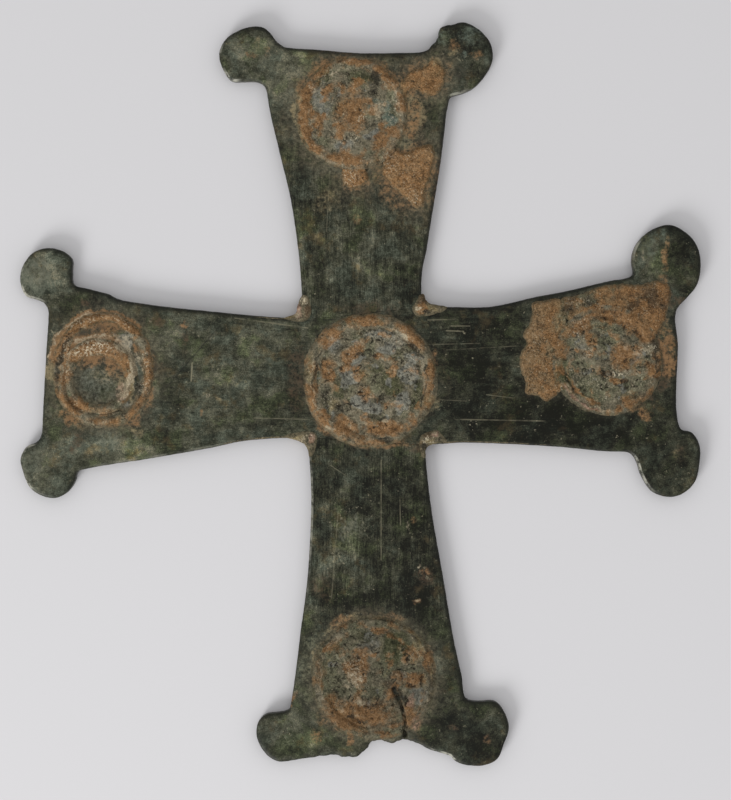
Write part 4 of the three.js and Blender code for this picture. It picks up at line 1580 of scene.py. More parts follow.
@dataclass
class Bar:
    """One of the two bars, with its half of the lap.

    The upright is cut away at the front of the crossing and the cross bar at the back.
    """

    name: str
    slot: Slot
    loop: Array
    other: Array
    cut_front: bool
    relief: Relief
    ground: Nearest
    grid: float = 0.42
    hidden_grid: float = 1.3
    back_grid: float = 1.15
    rows: tuple[float, ...] = (0.12, 0.28, 0.5, 0.8, 1.12)
    back_rows: tuple[float, ...] = (0.35, 0.9)
    lap_rows: tuple[float, ...] = (0.02, 0.05)
    back_round: float = 0.3
    wall_rings: int = 5
    bulge: float = 0.09
    side_levels: tuple[float, float] = (3.2, 1.4)

    def __post_init__(self) -> None:
        """Take up the edges of this bar and of the other."""
        edges = (self.relief.upright_edge, self.relief.cross_edge)
        self.own_edge, self.other_edge = edges if self.cut_front else edges[::-1]

    def piece(self, finish: Material) -> Piece:
        """Make the bar.

        Args:
            finish: The bar's material.

        Returns:
            The bar.
        """
        front = self._face(self.grid, self.rows, self.cut_front, thin_hidden=True)
        back = self._face(self.back_grid, self.back_rows, not self.cut_front, thin_hidden=False)
        sheet = Sheet([self.loop], front, back, self.wall_rings, self.bulge, Noise(97))
        corners, faces, _ = sheet.build(self.front_height, self.back_height)
        fields = field_values(self.relief, corners[:, :2], None)
        flat = corners[:, :2]
        depth = self.relief.depth(flat)
        fields["edge"] = smoothstep(2.4, 0.2, depth)
        # Painted shade: a dark band along the edges that face away from the light, wider the more they
        # turn away
        away = smoothstep(-0.6, 0.7, self.relief.turned_away(flat))
        wide = 0.8 + 1.0 * away + 0.5 * Noise(98).smooth(flat, 6.0)
        fields["shadow"] = smoothstep(1.0, 0.15, depth / wide) * (0.55 + 0.45 * away)
        fields["light"] = sum(shade.at(flat) for shade in SHADES)
        fields["halo"] = self._halo(flat)
        # Painted light: the walls below the front get a lighter grey that stands in for the light they
        # catch
        below = smoothstep(*self.side_levels, corners[:, 2])
        for tone in Tone:
            fields[tone.value] = fields[tone.value] * (1.0 - below)
        fields["below"] = below
        piece = new_piece(f"{self.name}_casting", corners, faces, fields)
        return settle(piece, finish, self.slot, self.name)

    def _halo(self, points: Array) -> Array:
        """How strongly the corrosion round the nearest mark stains each point.

        Args:
            points: The places.

        Returns:
            The strengths.
        """
        away = self.ground.distance(points)
        nearest = np.full(len(points), 1e9)
        halo = np.zeros(len(points))
        for mark in self.relief.marks.values():
            out, _ = mark.polar(points)
            stain = mark.halo * np.exp(-((away / mark.halo_reach) ** 1.3))
            halo = np.where(out < nearest, stain, halo)
            nearest = np.minimum(nearest, out)
        return halo

    def _in_lap(self, points: Array) -> Array:
        """Which points lie where the other bar crosses."""
        return inside(self.other, points) | (self.other_edge.distance(points) < 0.035)

    def _face(self, step: float, rows: Sequence[float], cut: bool, thin_hidden: bool) -> Array:
        """Points for one face: a grid, rows along the edge and rows along the lap's shoulder.

        Args:
            step: How far apart the grid's points are.
            rows: How far in each row lies.
            cut: Whether the lap is cut into this face.
            thin_hidden: Whether the grid is coarser where it is covered.

        Returns:
            The points.
        """
        made = []
        for row in rows:
            line = self.loop - outward(self.loop) * row
            line = line[inside(self.loop, line)]
            made.append(line[self.own_edge.distance(line) > 0.86 * row])
        grid = self._thinned(step, rows[-1]) if thin_hidden else self._plain(step, rows[-1])
        made.append(grid)
        points = np.concatenate(made)
        if not cut:
            return points
        points = points[self.other_edge.distance(points) > 0.32]
        shoulder = []
        for row in self.lap_rows:
            line = self.other + outward(self.other) * row
            line = line[inside(self.loop, line)]
            shoulder.append(line[self.own_edge.distance(line) > 0.1])
        return np.concatenate([points, *shoulder])

    def _plain(self, step: float, margin: float) -> Array:
        """A grid that fills the bar.

        Args:
            step: How far apart the points are.
            margin: How far in they start.

        Returns:
            The points.
        """
        points = hexagonal(self.loop, step)
        points = points[inside(self.loop, points)]
        return points[self.own_edge.distance(points) > margin + CLEAR_SHARE * step]

    def _thinned(self, step: float, margin: float) -> Array:
        """A fine grid where the face shows, and a coarse one under deposits and the lap."""
        fine, coarse = self._plain(step, margin), self._plain(self.hidden_grid, margin)
        return np.concatenate([fine[~self._hidden(fine)], coarse[self._hidden(coarse)]])

    def _hidden(self, points: Array) -> Array:
        """Which points of the front are well under a deposit or the other bar.

        Args:
            points: The places.

        Returns:
            True where a point is covered.
        """
        found = np.zeros(len(points), bool)
        for mark in self.relief.marks.values():
            if mark.name != "left":
                out, angle = mark.polar(points)
                found |= out < mark.reach(mark.rim_loops[0], angle) - 1.4
        if self.cut_front:
            found |= inside(self.other, points) & (self.other_edge.distance(points) > 0.6)
        return found

    def front_height(self, points: Array) -> Array:
        """The level of the front face.

        Args:
            points: The places.

        Returns:
            The levels.
        """
        depth = self.relief.depth(points)
        height = PLATE + self.relief.bronze(points, depth) - self.relief.seam(points)
        if self.cut_front:
            height[self._in_lap(points)] = LAP_BACK
        return height

    def back_height(self, points: Array) -> Array:
        """The level of the back face.

        Args:
            points: The places.

        Returns:
            The levels.
        """
        depth = self.relief.depth(points)
        height = self.back_round * (1.0 - np.sqrt(1.0 - np.clip(1.0 - depth / 0.6, 0, 1) ** 2))
        if not self.cut_front:
            height[self._in_lap(points)] = LAP_FRONT
        return height


@dataclass(frozen=True)
class CornerSolder:
    """Solder run into one of the crossing's inner corners and out over the bars beside it."""

    name: str
    points: tuple[Place, ...]
    spots: tuple[Patch, ...]
    seed: int
    grid: float = 0.22
    foot: float = 0.4
    swell: float = 0.42

    def piece(self, relief: Relief, finish: Material) -> Piece:
        """Make the solder.

        Args:
            relief: The front.
            finish: The solder's material.

        Returns:
            The piece.
        """
        noise = Noise(self.seed)
        loop = resampled(np.array(self.points), 0.3)
        loop = loop + outward(loop) * (0.25 * noise.fractal(loop, 1.8))[:, None]
        edge = Nearest(resampled(loop, EDGE_STEP))
        grid = hexagonal(loop, self.grid)
        grid = grid[inside(loop, grid)]
        grid = grid[edge.distance(grid) > 0.13]

        def upper_height(points: Array) -> Array:
            """The level of the solder's face at each point.

            Args:
                points: The places.

            Returns:
                The levels.
            """
            clear, depth = edge.distance(points), relief.depth(points)
            beyond = smoothstep(0.5, -0.9, np.where(relief.on_cross(points), depth, -depth))
            rough = 0.7 + 0.5 * noise.fractal(points, 2.6) + 0.3 * noise.fractal(points, 0.9)
            rise = self.swell * smoothstep(0.0, 1.3, clear) * rough
            return PLATE + 0.02 + rise - beyond * (0.3 + 0.5 * smoothstep(0.6, 0.0, clear))

        def lower_height(points: Array) -> Array:
            """The level of the solder's foot."""
            return np.full(len(points), self.foot)

        corners, faces, _ = Sheet([loop], grid, grid[::9], 4, 0.1, noise).build(
            upper_height, lower_height
        )
        flat = corners[:, :2]
        fields = field_values(relief, flat, None)
        for spot in self.spots:
            cover = spot.cover(noise.warp(flat, 1.5, 0.5), np.zeros(2))
            fields[spot.tone.value] = np.maximum(fields[spot.tone.value], cover)
        fields["peak"] = noise.fractal(flat, 1.4)
        fields["thin"] = smoothstep(1.4, 0.2, edge.distance(flat)) * relief.on_cross(flat)
        piece = new_piece(f"{self.name}_lump", corners, faces, fields)
        return settle(piece, finish, Slot.SOLDER, self.name)


CORNER_SOLDERS = (
    CornerSolder(
        "corner_solder_upper_left",
        (
            (-19, 24.8), (-20.2, 23.4), (-20.8, 21), (-21.4, 19.3), (-23.2, 18.5), (-25, 17.9),
            (-22.4, 17.2), (-19.4, 16.8), (-17.2, 18), (-16.6, 21), (-17.3, 24),
        ),
        (
            *spots(Tone.CREAM, (-18.7, 23.6, 0.9, 1.3, 0.8), (-20.9, 19, 1.2, 1.2, 0.7)),
            # Painted sparkle
            *spots(Tone.SPARK, (-18.7, 23.6, 1.4, 1.8)),
            *spots(Tone.PINK, (-20.4, 20, 1, 2.2, 0.9)),
            *spots(Tone.UMBER, (-17.6, 20, 1.2, 2.2, 0.9)),
            *spots(Tone.OCHRE, (-23.4, 18.2, 2.2, 0.5, 0.8, 12)),
        ),
        120,
    ),
    CornerSolder(
        "corner_solder_upper_right",
        (
            (17.2, 25.2), (17.7, 23.7), (18.7, 22.7), (20.8, 22), (23.2, 21.6), (24.4, 21.1),
            (22, 19.6), (18.4, 18.7), (15, 18.7), (13.8, 20.7), (14.6, 23), (16, 24.9),
        ),
        (
            *spots(Tone.RUST, (16.4, 20.8, 2, 1.8)),
            *spots(Tone.CREAM, (15.2, 20.7, 0.8, 0.7, 0.9)),
            # Painted sparkle
            *spots(Tone.SPARK, (15.6, 20.7, 1.4, 1.2)),
            *spots(Tone.OCHRE, (19.6, 20.8, 2.2, 1, 0.8, -20)),
            *spots(Tone.UMBER, (16.8, 23.4, 1.6, 1.8, 1.2)),
            *spots(Tone.SOOT, (18.2, 20, 1.6, 0.7, 0.8)),
        ),
        121,
    ),
    CornerSolder(
        "corner_solder_lower_left",
        (
            (-17.2, -23.4), (-17.7, -21.3), (-18.8, -19.9), (-20.6, -18.9), (-22.6, -18.2),
            (-24.8, -17.9), (-24.2, -17), (-21.2, -16.4), (-17.6, -15.9), (-15.2, -16.8),
            (-14.9, -19.5), (-16, -23),
        ),
        (
            *spots(Tone.PINK, (-16.4, -18, 1, 1.6)),
            *spots(Tone.RUST, (-16.4, -18.6, 0.9, 1, 0.6)),
            # Painted sparkle
            *spots(Tone.SPARK, (-17, -17.2, 1.6, 1.2)),
            *spots(Tone.OCHRE, (-20.8, -18, 3, 0.7, 0.9, 14)),
            *spots(Tone.CREAM, (-19.4, -18.6, 1.6, 0.6, 0.6, 20)),
        ),
        122,
    ),
    CornerSolder(
        "corner_solder_lower_right",
        (
            (17.7, -24), (17.8, -21.6), (18.7, -20.4), (20.5, -19.7), (22.6, -19.2), (24.2, -19),
            (23.4, -17.8), (21.6, -15.9), (19, -15.9), (16.4, -17.4), (15.8, -19.8), (16.6, -23.4),
        ),
        (
            *spots(Tone.PINK, (20.8, -16.8, 1.1, 0.8, 1, 20)),
            *spots(Tone.CREAM, (20.4, -16.6, 0.8, 0.6, 0.8)),
            # Painted sparkle
            *spots(Tone.SPARK, (18.6, -18.6, 2, 1.2)),
            *spots(Tone.OCHRE, (18.6, -19.2, 2.4, 0.9, 0.9, 10)),
            *spots(Tone.UMBER, (18.4, -16.9, 1.8, 1.2, 1.1)),
            *spots(Tone.SOOT, (17.2, -20.4, 1.1, 1.6, 0.9), (21.6, -18.4, 1.6, 0.6, 0.8, 20)),
        ),
        123,
    ),
)


@dataclass(frozen=True)
class Bead:
    """A thin run of deposit along the cross bar's edge, thickest where it starts."""

    name: str
    start: Place
    stop: Place
    thick: float
    thin: float
    seed: int
    inset: float = 0.35
    level: float = 3.72
    sides: int = 8
    rough: float = 0.6


# How grains lie: how many to a square metre, and the least and the largest in millimetres
GRIT = {"Density": 6.0e5, "Smallest": 0.18, "Largest": 0.55}
GRAIN_SEED = 40

BEADS = (
    Bead("edge_bead_upper_left", (-20.5, 18.6), (-34.0, 16.4), 0.42, 0.12, 3),
    Bead("edge_bead_lower_left", (-21.5, -17.6), (-44.0, -18.6), 0.55, 0.16, 5),
    Bead("edge_bead_lower_right", (20.5, -19.6), (55.0, -17.0), 0.4, 0.1, 7),
    Bead("edge_bead_upper_right", (16.5, 21.6), (16.9, 29.0), 0.36, 0.1, 9),
)


# Node trees


Value = "Wire | float | Sequence[float]"


def joined(operation: str, swapped: bool = False) -> Callable[["Wire", Value], "Wire"]:
    """Make the method that stands for an operator.

    Args:
        operation: What the Math node does.
        swapped: Whether the wire is the second of the two values.

    Returns:
        The method.
    """

    def method(self: "Wire", other: Value) -> "Wire":
        """Join the wire and another value."""
        one, two = (other, self) if swapped else (self, other)
        return self.graph.math(operation, one, two)

    return method


@dataclass(frozen=True)
class Wire:
    """One output of a node, which can stand in sums."""

    graph: "Graph"
    socket: bpy.types.NodeSocket

    __add__ = joined("ADD")
    __radd__ = joined("ADD", swapped=True)
    __sub__ = joined("SUBTRACT")
    __rsub__ = joined("SUBTRACT", swapped=True)
    __mul__ = joined("MULTIPLY")
    __rmul__ = joined("MULTIPLY", swapped=True)
    __truediv__ = joined("DIVIDE")
    __rtruediv__ = joined("DIVIDE", swapped=True)

    def eased(self, low: float, high: float) -> "Wire":
        """Ease from 0 at low to 1 at high.

        Args:
            low: Where the result is 0.
            high: Where it is 1.

        Returns:
            The eased number.
        """
        if low > high:
            return 1.0 - self.eased(high, low)
        return self.graph.node(
            "ShaderNodeMapRange",
            {"interpolation_type": "SMOOTHSTEP"},
            {"Value": self, "From Min": low, "From Max": high},
        )


@dataclass(frozen=True)
class Graph:
    """Adds nodes to one tree."""

    tree: bpy.types.NodeTree

    def node(
        self,
        kind: str,
        settings: dict[str, object] | None = None,
        values: dict[str | int, Value] | None = None,
        output: str | int = 0,
    ) -> Wire:
        """Add one node.

        Args:
            kind: The node's type.
            settings: Properties of the node.
            values: What goes into its sockets, by name or number.
            output: The output to hand on.

        Returns:
            That output.
        """
        made = self.tree.nodes.new(kind)
        for label, value in (settings or {}).items():
            setattr(made, label, value)
        for label, value in (values or {}).items():
            if isinstance(value, Wire):
                self.tree.links.new(value.socket, made.inputs[label])
            else:
                made.inputs[label].default_value = value
        return Wire(self, made.outputs[output] if made.outputs else None)

    def math(self, operation: str, one: Value, two: Value) -> Wire:
        """Join two numbers."""
        return self.node("ShaderNodeMath", {"operation": operation}, {0: one, 1: two})

    def vector(self, operation: str, one: Value, two: Value, output: str | int = 0) -> Wire:
        """Join two vectors."""
        return self.node("ShaderNodeVectorMath", {"operation": operation}, {0: one, 1: two}, output)

    def scaled(self, one: Value, by: Value) -> Wire:
        """A vector times a number."""
        return self.node("ShaderNodeVectorMath", {"operation": "SCALE"}, {0: one, "Scale": by})

    def length(self, one: Value) -> Wire:
        """How long a vector is."""
        return self.node("ShaderNodeVectorMath", {"operation": "LENGTH"}, {0: one}, "Value")

    def mix(self, share: Value, one: Value, two: Value, way: str = "MIX") -> Wire:
        """Mix two colours."""
        settings = {"data_type": "RGBA", "blend_type": way, "clamp_factor": True}
        return self.node("ShaderNodeMix", settings, {0: share, 6: one, 7: two}, 2)

    def noise(self, place: Wire, size: float, detail: float, rough: float, shift: float = 0.0) -> Wire:
        """Noise from 0 to 1.

        Args:
            place: The place in millimetres.
            size: How far across its swells are.
            detail: How many finer layers it has.
            rough: How strong these are.
            shift: How far it is moved, so that it differs from other noise.

        Returns:
            The noise.
        """
        if shift:
            place = self.shifted(place, shift)
        values = {"Vector": place, "Scale": 1.0 / size, "Detail": detail, "Roughness": rough}
        return self.node("ShaderNodeTexNoise", None, values)

    def cells(self, place: Wire, size: float) -> Wire:
        """How far the place is from the nearest of some points that lie size apart."""
        return self.node("ShaderNodeTexVoronoi", None, {"Vector": place, "Scale": 1.0 / size})

    def field(self, label: str) -> Wire:
        """A number kept on the mesh."""
        return self.node("ShaderNodeAttribute", {"attribute_name": label}, None, "Fac")

    def millimetres(self) -> Wire:
        """The place on the object."""
        place = self.node("ShaderNodeTexCoord", None, None, "Object")
        return self.vector("MULTIPLY", place, (1.0 / METRES,) * 3)

    def shifted(self, place: Wire, by: float) -> Wire:
        """The place moved far enough for another noise."""
        return self.vector("ADD", place, (by, by * 0.7, by * 0.4))

    def turned(self, place: Wire, turn: float, stretch: float) -> Wire:
        """The place in axes turned by so many degrees and drawn together along the first."""
        turns = {"Rotation": (0.0, 0.0, math.radians(turn)), "Scale": (stretch, 1.0, 1.0)}
        return self.node("ShaderNodeMapping", {"vector_type": "TEXTURE"}, {"Vector": place} | turns)

    def segment(self, place: Wire, start: tuple, stop: tuple) -> Wire:
        """The distance in plan from a straight segment.

        Args:
            place: The place.
            start: One end.
            stop: The other end.

        Returns:
            The distance.
        """
        along = (stop[0] - start[0], stop[1] - start[1], 0.0)
        length = along[0] ** 2 + along[1] ** 2
        flat = self.vector("MULTIPLY", place, (1.0, 1.0, 0.0))
        away = self.vector("SUBTRACT", flat, (start[0], start[1], 0.0))
        share = self.vector("DOT_PRODUCT", away, along, "Value") / length
        held = self.node("ShaderNodeClamp", None, {"Value": share})
        return self.length(self.vector("SUBTRACT", away, self.scaled(along, held)))


def srgb(colour: Colour, strength: float = 1.0) -> tuple[float, float, float, float]:
    """A colour written from 0 to 255 as light, times a strength.

    Args:
        colour: Red, green and blue.
        strength: The factor.

    Returns:
        Red, green, blue and a solid 1.
    """
    made = []
    for part in colour:
        share = part / 255.0
        light = share / 12.92 if share < 0.04045 else ((share + 0.055) / 1.055) ** 2.4
        made.append(strength * light)
    return (*made, 1.0)


# Finishes


PATINA_DEEP = (23, 23, 13)
PATINA_OLIVE = (53, 54, 39)
PATINA_WORN = (87, 87, 70)
PATINA_BARE = (138, 133, 109)
PATINA_BROWN = (84, 70, 47)
CRUMB_DARK = (62, 58, 44)
CRUMB_LIGHT = (116, 106, 84)

TONE_COLOURS: dict[Tone, tuple[Colour, Colour]] = {
    Tone.PALE: ((74, 77, 65), (110, 112, 97)),
    Tone.UMBER: ((56, 45, 33), (94, 76, 56)),
    Tone.VERDIGRIS: ((70, 71, 54), (130, 128, 102)),
    Tone.MOSS: ((46, 50, 32), (94, 95, 67)),
    Tone.TEAL: ((60, 74, 65), (114, 124, 110)),
    Tone.SLATE: ((88, 88, 80), (144, 143, 131)),
    Tone.OCHRE: ((94, 82, 56), (158, 143, 108)),
    Tone.RUST: ((96, 69, 42), (160, 121, 80)),
    Tone.PINK: ((112, 88, 73), (170, 142, 122)),
    Tone.CREAM: ((128, 114, 90), (186, 174, 148)),
    Tone.SOOT: ((30, 29, 24), (60, 57, 47)),
}


def toned(graph: Graph, place: Wire, colour: Wire, grain: Wire, strength: float, fray: Wire) -> Wire:
    """Lay the mesh's tones over a colour.

    Args:
        graph: The material's tree.
        place: The place in millimetres.
        colour: What is underneath.
        grain: From 0, dark, to 1, light.
        strength: The most that a tone covers.
        fray: Breaks the tones' borders up, from 0 to about 1.5.

    Returns:
        The colour with every tone laid over it.
    """
    for index, (tone, (dark, light)) in enumerate(TONE_COLOURS.items()):
        broken = graph.noise(place, 3.0, 6.0, 0.7, 11.0 + 7.3 * index)
        cover = (graph.field(tone.value) * (broken * 3.0 - 0.6) * fray).eased(0.1, 0.95)
        colour = graph.mix(cover * strength, colour, graph.mix(grain, srgb(dark), srgb(light)))
    return colour


def shaded(colour: Wire, roughness: Wire | float, height: Wire, lift: float, gloss: float) -> None:
    """Finish a material from its colour, roughness and fine relief.

    Args:
        colour: The base colour.
        roughness: The roughness.
        height: The fine relief, in millimetres.
        lift: How strongly the relief shows.
        gloss: The specular level.
    """
    graph = colour.graph
    bump = graph.node("ShaderNodeBump", None, {"Strength": lift, "Distance": METRES, "Height": height})
    body = graph.node(
        "ShaderNodeBsdfPrincipled",
        None,
        {
            "Base Color": colour,
            "Roughness": roughness,
            "Specular IOR Level": gloss,
            "Normal": bump,
        },
    )
    graph.node("ShaderNodeOutputMaterial", None, {"Surface": body})


def fresh(name: str) -> tuple[Material, Graph]:
    """An empty material and its graph.

    Args:
        name: The material's name.

    Returns:
        The material, and the graph of its tree.
    """
    material = bpy.data.materials.new(name)
    material.use_nodes = True
    material.node_tree.nodes.clear()
    return material, Graph(material.node_tree)


@dataclass(frozen=True)
class Scratch:
    """A light line scribed on the bronze, or a dark one where its strength is below 0."""

    start: Place
    stop: Place
    width: float
    strength: float


def bronze_colour(graph: Graph, place: Wire, turn: float, streaked: float) -> tuple[Wire, Wire, Wire]:
    """The colour of bare patina.

    Args:
        graph: The material's tree.
        place: The place in millimetres.
        turn: The way that the streaks run, in degrees from +X.
        streaked: How strong the streaks are on the arms; the lobes have fewer.

    Returns:
        The colour, the streaks and the fine grain.
    """
    grain = graph.noise(place, 0.9, 6.0, 0.7)
    mottle = graph.noise(place, 4.2, 8.0, 0.66, 5.0)
    broad = graph.noise(place, 15.0, 5.0, 0.6, 9.0)
    cool = graph.noise(place, 11.0, 6.0, 0.65, 21.0)
    warm = graph.noise(place, 7.0, 7.0, 0.68, 33.0)
    fine_streak = graph.noise(graph.turned(place, turn, 14.0), 0.55, 4.0, 0.7)
    wide_streak = graph.noise(graph.turned(graph.shifted(place, 3.0), turn, 7.0), 1.9, 5.0, 0.65)
    out = graph.length(place)
    drawn = out.eased(88.0, 70.0) * streaked
    streaks = (fine_streak - 0.5) * 0.55 + (wide_streak - 0.5) * 0.6
    value = (mottle - 0.5) * 1.3 + (grain - 0.5) * 0.8 + (broad - 0.5) * 0.6
    value = value + 1.5 + graph.field("light") * 0.5 + streaks * drawn
    grit = graph.noise(place, 0.36, 3.0, 0.7, 71.0)
    thread = graph.noise(graph.turned(graph.shifted(place, 77.0), turn, 9.0), 0.3, 2.0, 0.6)
    value = value + (grit - 0.5) * 1.0 + (thread - 0.5) * 0.6 * drawn
    colour = graph.mix(value.eased(1.2, 1.52), srgb(PATINA_DEEP), srgb(PATINA_OLIVE))
    colour = graph.mix(value.eased(1.48, 1.78), colour, srgb(PATINA_WORN))
    colour = graph.mix(value.eased(1.75, 2.05), colour, srgb(PATINA_BARE))
    colour = graph.mix(cool.eased(0.49, 0.6), colour, (0.88, 1.0, 1.08, 1.0), "MULTIPLY")
    colour = graph.mix(cool.eased(0.5, 0.38), colour, (0.92, 1.06, 0.78, 1.0), "MULTIPLY")
    colour = graph.mix(warm.eased(0.54, 0.66) * 0.8, colour, (1.25, 1.0, 0.72, 1.0), "MULTIPLY")
    colour = graph.mix(warm.eased(0.56, 0.7) * 0.3, colour, srgb(PATINA_BROWN))
    return colour, (fine_streak * 0.6 + wide_streak * 0.4 - 0.5) * drawn + 0.5, grain


def crumbled(graph: Graph, colour: Wire, around: Wire, grain: Wire) -> Wire:
    """Lay the thin corrosion that surrounds the deposits over a colour."""
    crumb = graph.mix(grain.eased(0.35, 0.65), srgb(CRUMB_DARK), srgb(CRUMB_LIGHT))
    return graph.mix(around * 0.8, colour, crumb)


@dataclass(frozen=True)
class Bronze:
    """Dark olive patina on cast bronze, with streaks along the bar."""

    name: str
    turn: float
    streaked: float
    scratches: tuple[Scratch, ...]
    # The dark patina, also laid as the painted edge shade
    deep: Colour = (30, 31, 25)
    speck: Colour = (138, 132, 108)
    # The lighter grey painted on the walls for the light they catch
    side: Colour = (74, 72, 66)
    # The colour of the painted highlight along lit edges
    glint: Colour = (178, 176, 162)
    tone_cover: float = 0.78

    def material(self) -> Material:
        """Build the finish.

        Returns:
            The material.
        """
        material, graph = fresh(self.name)
        place = graph.millimetres()
        colour, streak, grain = bronze_colour(graph, place, self.turn, self.streaked)
        flake = graph.noise(place, 0.9, 3.0, 0.6, 47.0)
        patchy = graph.noise(place, 5.0, 4.0, 0.7, 41.0)
        # The light specks are a little denser under the painted sparkle mask
        speck = (flake + graph.field("spark") * 0.12).eased(0.64, 0.72) * patchy.eased(0.4, 0.6)
        colour = graph.mix(speck * 0.75, colour, srgb(self.speck))
        for scratch in self.scratches:
            away = graph.segment(place, scratch.start, scratch.stop)
            line = away.eased(scratch.width, scratch.width * 0.3) * patchy.eased(0.3, 0.6)
            shade = self.speck if scratch.strength > 0 else self.deep
            colour = graph.mix(line * abs(scratch.strength), colour, srgb(shade))
        stain = graph.noise(place, 2.2, 8.0, 0.74, 57.0)
        around = (graph.field("halo") * (stain * 2.4 - 0.4)).eased(0.05, 1.15)
        colour = crumbled(graph, colour, around, grain)
        edge = graph.field("edge")
        # Painted shade: the dark patina laid along the edges that face away from the light
        colour = graph.mix(graph.field("shadow") * 0.75, colour, srgb(self.deep))
        # Painted light: a lighter grey on the walls for the light they catch
        colour = graph.mix(graph.field("below") * 0.6, colour, srgb(self.side))
        fray = grain * 3.4 - 0.95
        tint = grain * 0.7 + streak * 0.3
        colour = toned(graph, place, colour, tint.eased(0.25, 0.75), self.tone_cover, fray)
        # Painted highlight: a light glint along the edges that face the key light, where the glint mask
        # is
        shine = graph.field("glint") * edge.eased(0.82, 0.96) * patchy.eased(0.4, 0.55)
        colour = graph.mix(shine * 0.8, colour, srgb(self.glint))
        height = grain * 0.12 + streak * 0.16 + speck * 0.06 + around * 0.1
        roughness = 0.6 - grain * 0.2 + around * 0.25
        shaded(colour, roughness, height, 0.6, 0.32)
        return material


@dataclass(frozen=True)
class Mineral:
    """Granular corrosion or solder, whose tones come from the mesh."""

    name: str
    dark: Colour = (58, 56, 44)
    mid: Colour = (95, 90, 73)
    light: Colour = (136, 128, 107)
    # The colour of the painted shade in crevices
    painted_crevice_shade: Colour = (40, 36, 29)
    # The colour of the painted highlight on ridges
    painted_ridge_highlight: Colour = (200, 190, 166)
    crystal: Colour = (190, 176, 148)
    pit: Colour = (44, 38, 28)
    # The colour of the painted sparkle
    spark: Colour = (212, 201, 174)
    dim: Colour = (16, 13, 9)
    tone_cover: float = 0.9
    bump: float = 0.9
    grit: float = 1.1

    def material(self) -> Material:
        """Build the finish.

        Returns:
            The material.
        """
        material, graph = fresh(self.name)
        place = graph.millimetres()
        fine = graph.noise(place, 0.75, 8.0, 0.75)
        slow = graph.noise(place, 3.2, 8.0, 0.68, 15.0)
        tint = graph.noise(place, 1.6, 8.0, 0.7, 27.0)
        near = graph.cells(graph.shifted(place, 3.0), 0.8)
        grit = graph.noise(place, 0.36, 2.0, 0.6, 61.0)
        peak = graph.field("peak")
        grain = fine * 0.6 + slow * 0.45 + tint * 0.65 + peak * 0.2 - near * 0.06
        grain = (grain + (grit - 0.5) * self.grit).eased(0.5, 1.2)
        colour = graph.mix(slow.eased(0.38, 0.62), srgb(self.dark), srgb(self.mid))
        colour = graph.mix(grain, colour, srgb(self.light))
        colour = toned(graph, place, colour, grain, self.tone_cover, fine * 1.6 + 0.2)
        # Painted shade: the low places between the grains are darkened
        painted_crevice_shade = (peak * 0.45 + fine * 0.55).eased(0.16, -0.08)
        colour = graph.mix(painted_crevice_shade * 0.75, colour, srgb(self.painted_crevice_shade))
        # Painted highlight: the grains' raised ridges are lightened
        painted_ridge_highlight = (peak * 0.35 + fine * 0.65).eased(0.42, 0.62)
        colour = graph.mix(painted_ridge_highlight * 0.25, colour, srgb(self.painted_ridge_highlight))
        crystal = graph.noise(place, 0.5, 3.0, 0.6, 8.0)
        clear = crystal.eased(0.58, 0.68) * tint.eased(0.42, 0.6)
        colour = graph.mix(clear * 0.6, colour, srgb(self.crystal))
        pit = crystal.eased(0.4, 0.31) * slow.eased(0.6, 0.42)
        colour = graph.mix(pit * 0.6, colour, srgb(self.pit))
        # Painted sparkle: bright flecks that stand in for glints off crystals, where the sparkle mask
        # is
        spark = graph.noise(place, 0.6, 5.0, 0.72, 29.0)
        spark = (spark + graph.field("spark") * 0.06).eased(0.56, 0.7)
        spark = spark * graph.field("spark") * (fine * 3.0 - 0.7).eased(0.1, 0.8)
        colour = graph.mix(spark * 0.85, colour, srgb(self.spark))
        colour = graph.mix(graph.field("dim"), colour, srgb(self.dim))
        bare, _, _ = bronze_colour(graph, place, 0.0, 0.3)
        stained = crumbled(graph, bare, (slow * 3.0 - 0.6).eased(0.2, 0.9), fine)
        worn = (graph.field("thin") * (tint * 3.0 - 0.6)).eased(0.3, 1.1)
        colour = graph.mix(worn * 0.75, colour, stained)
        height = fine * 0.26 + tint * 0.3 + grit * 0.1 - near * 0.06
        shaded(colour, 0.88, height, self.bump, 0.15)
        return material


CRUST_MINERAL = Mineral("crust_mineral", (76, 61, 42), (110, 87, 59), (152, 124, 90), grit=1.6)
GREY_SOLDER = Mineral("grey_solder", (50, 48, 38), (78, 74, 58), (128, 117, 94))


@dataclass(frozen=True)
class Plain:
    """A flat matt colour."""

    name: str
    colour: Colour

    def material(self) -> Material:
        """Build the finish.

        Returns:
            The material.
        """
        material, graph = fresh(self.name)
        body = graph.node(
            "ShaderNodeBsdfPrincipled",
            None,
            {"Base Color": srgb(self.colour), "Roughness": 0.95, "Specular IOR Level": 0.0},
        )
        graph.node("ShaderNodeOutputMaterial", None, {"Surface": body})
        return material


# What Geometry Nodes repeat


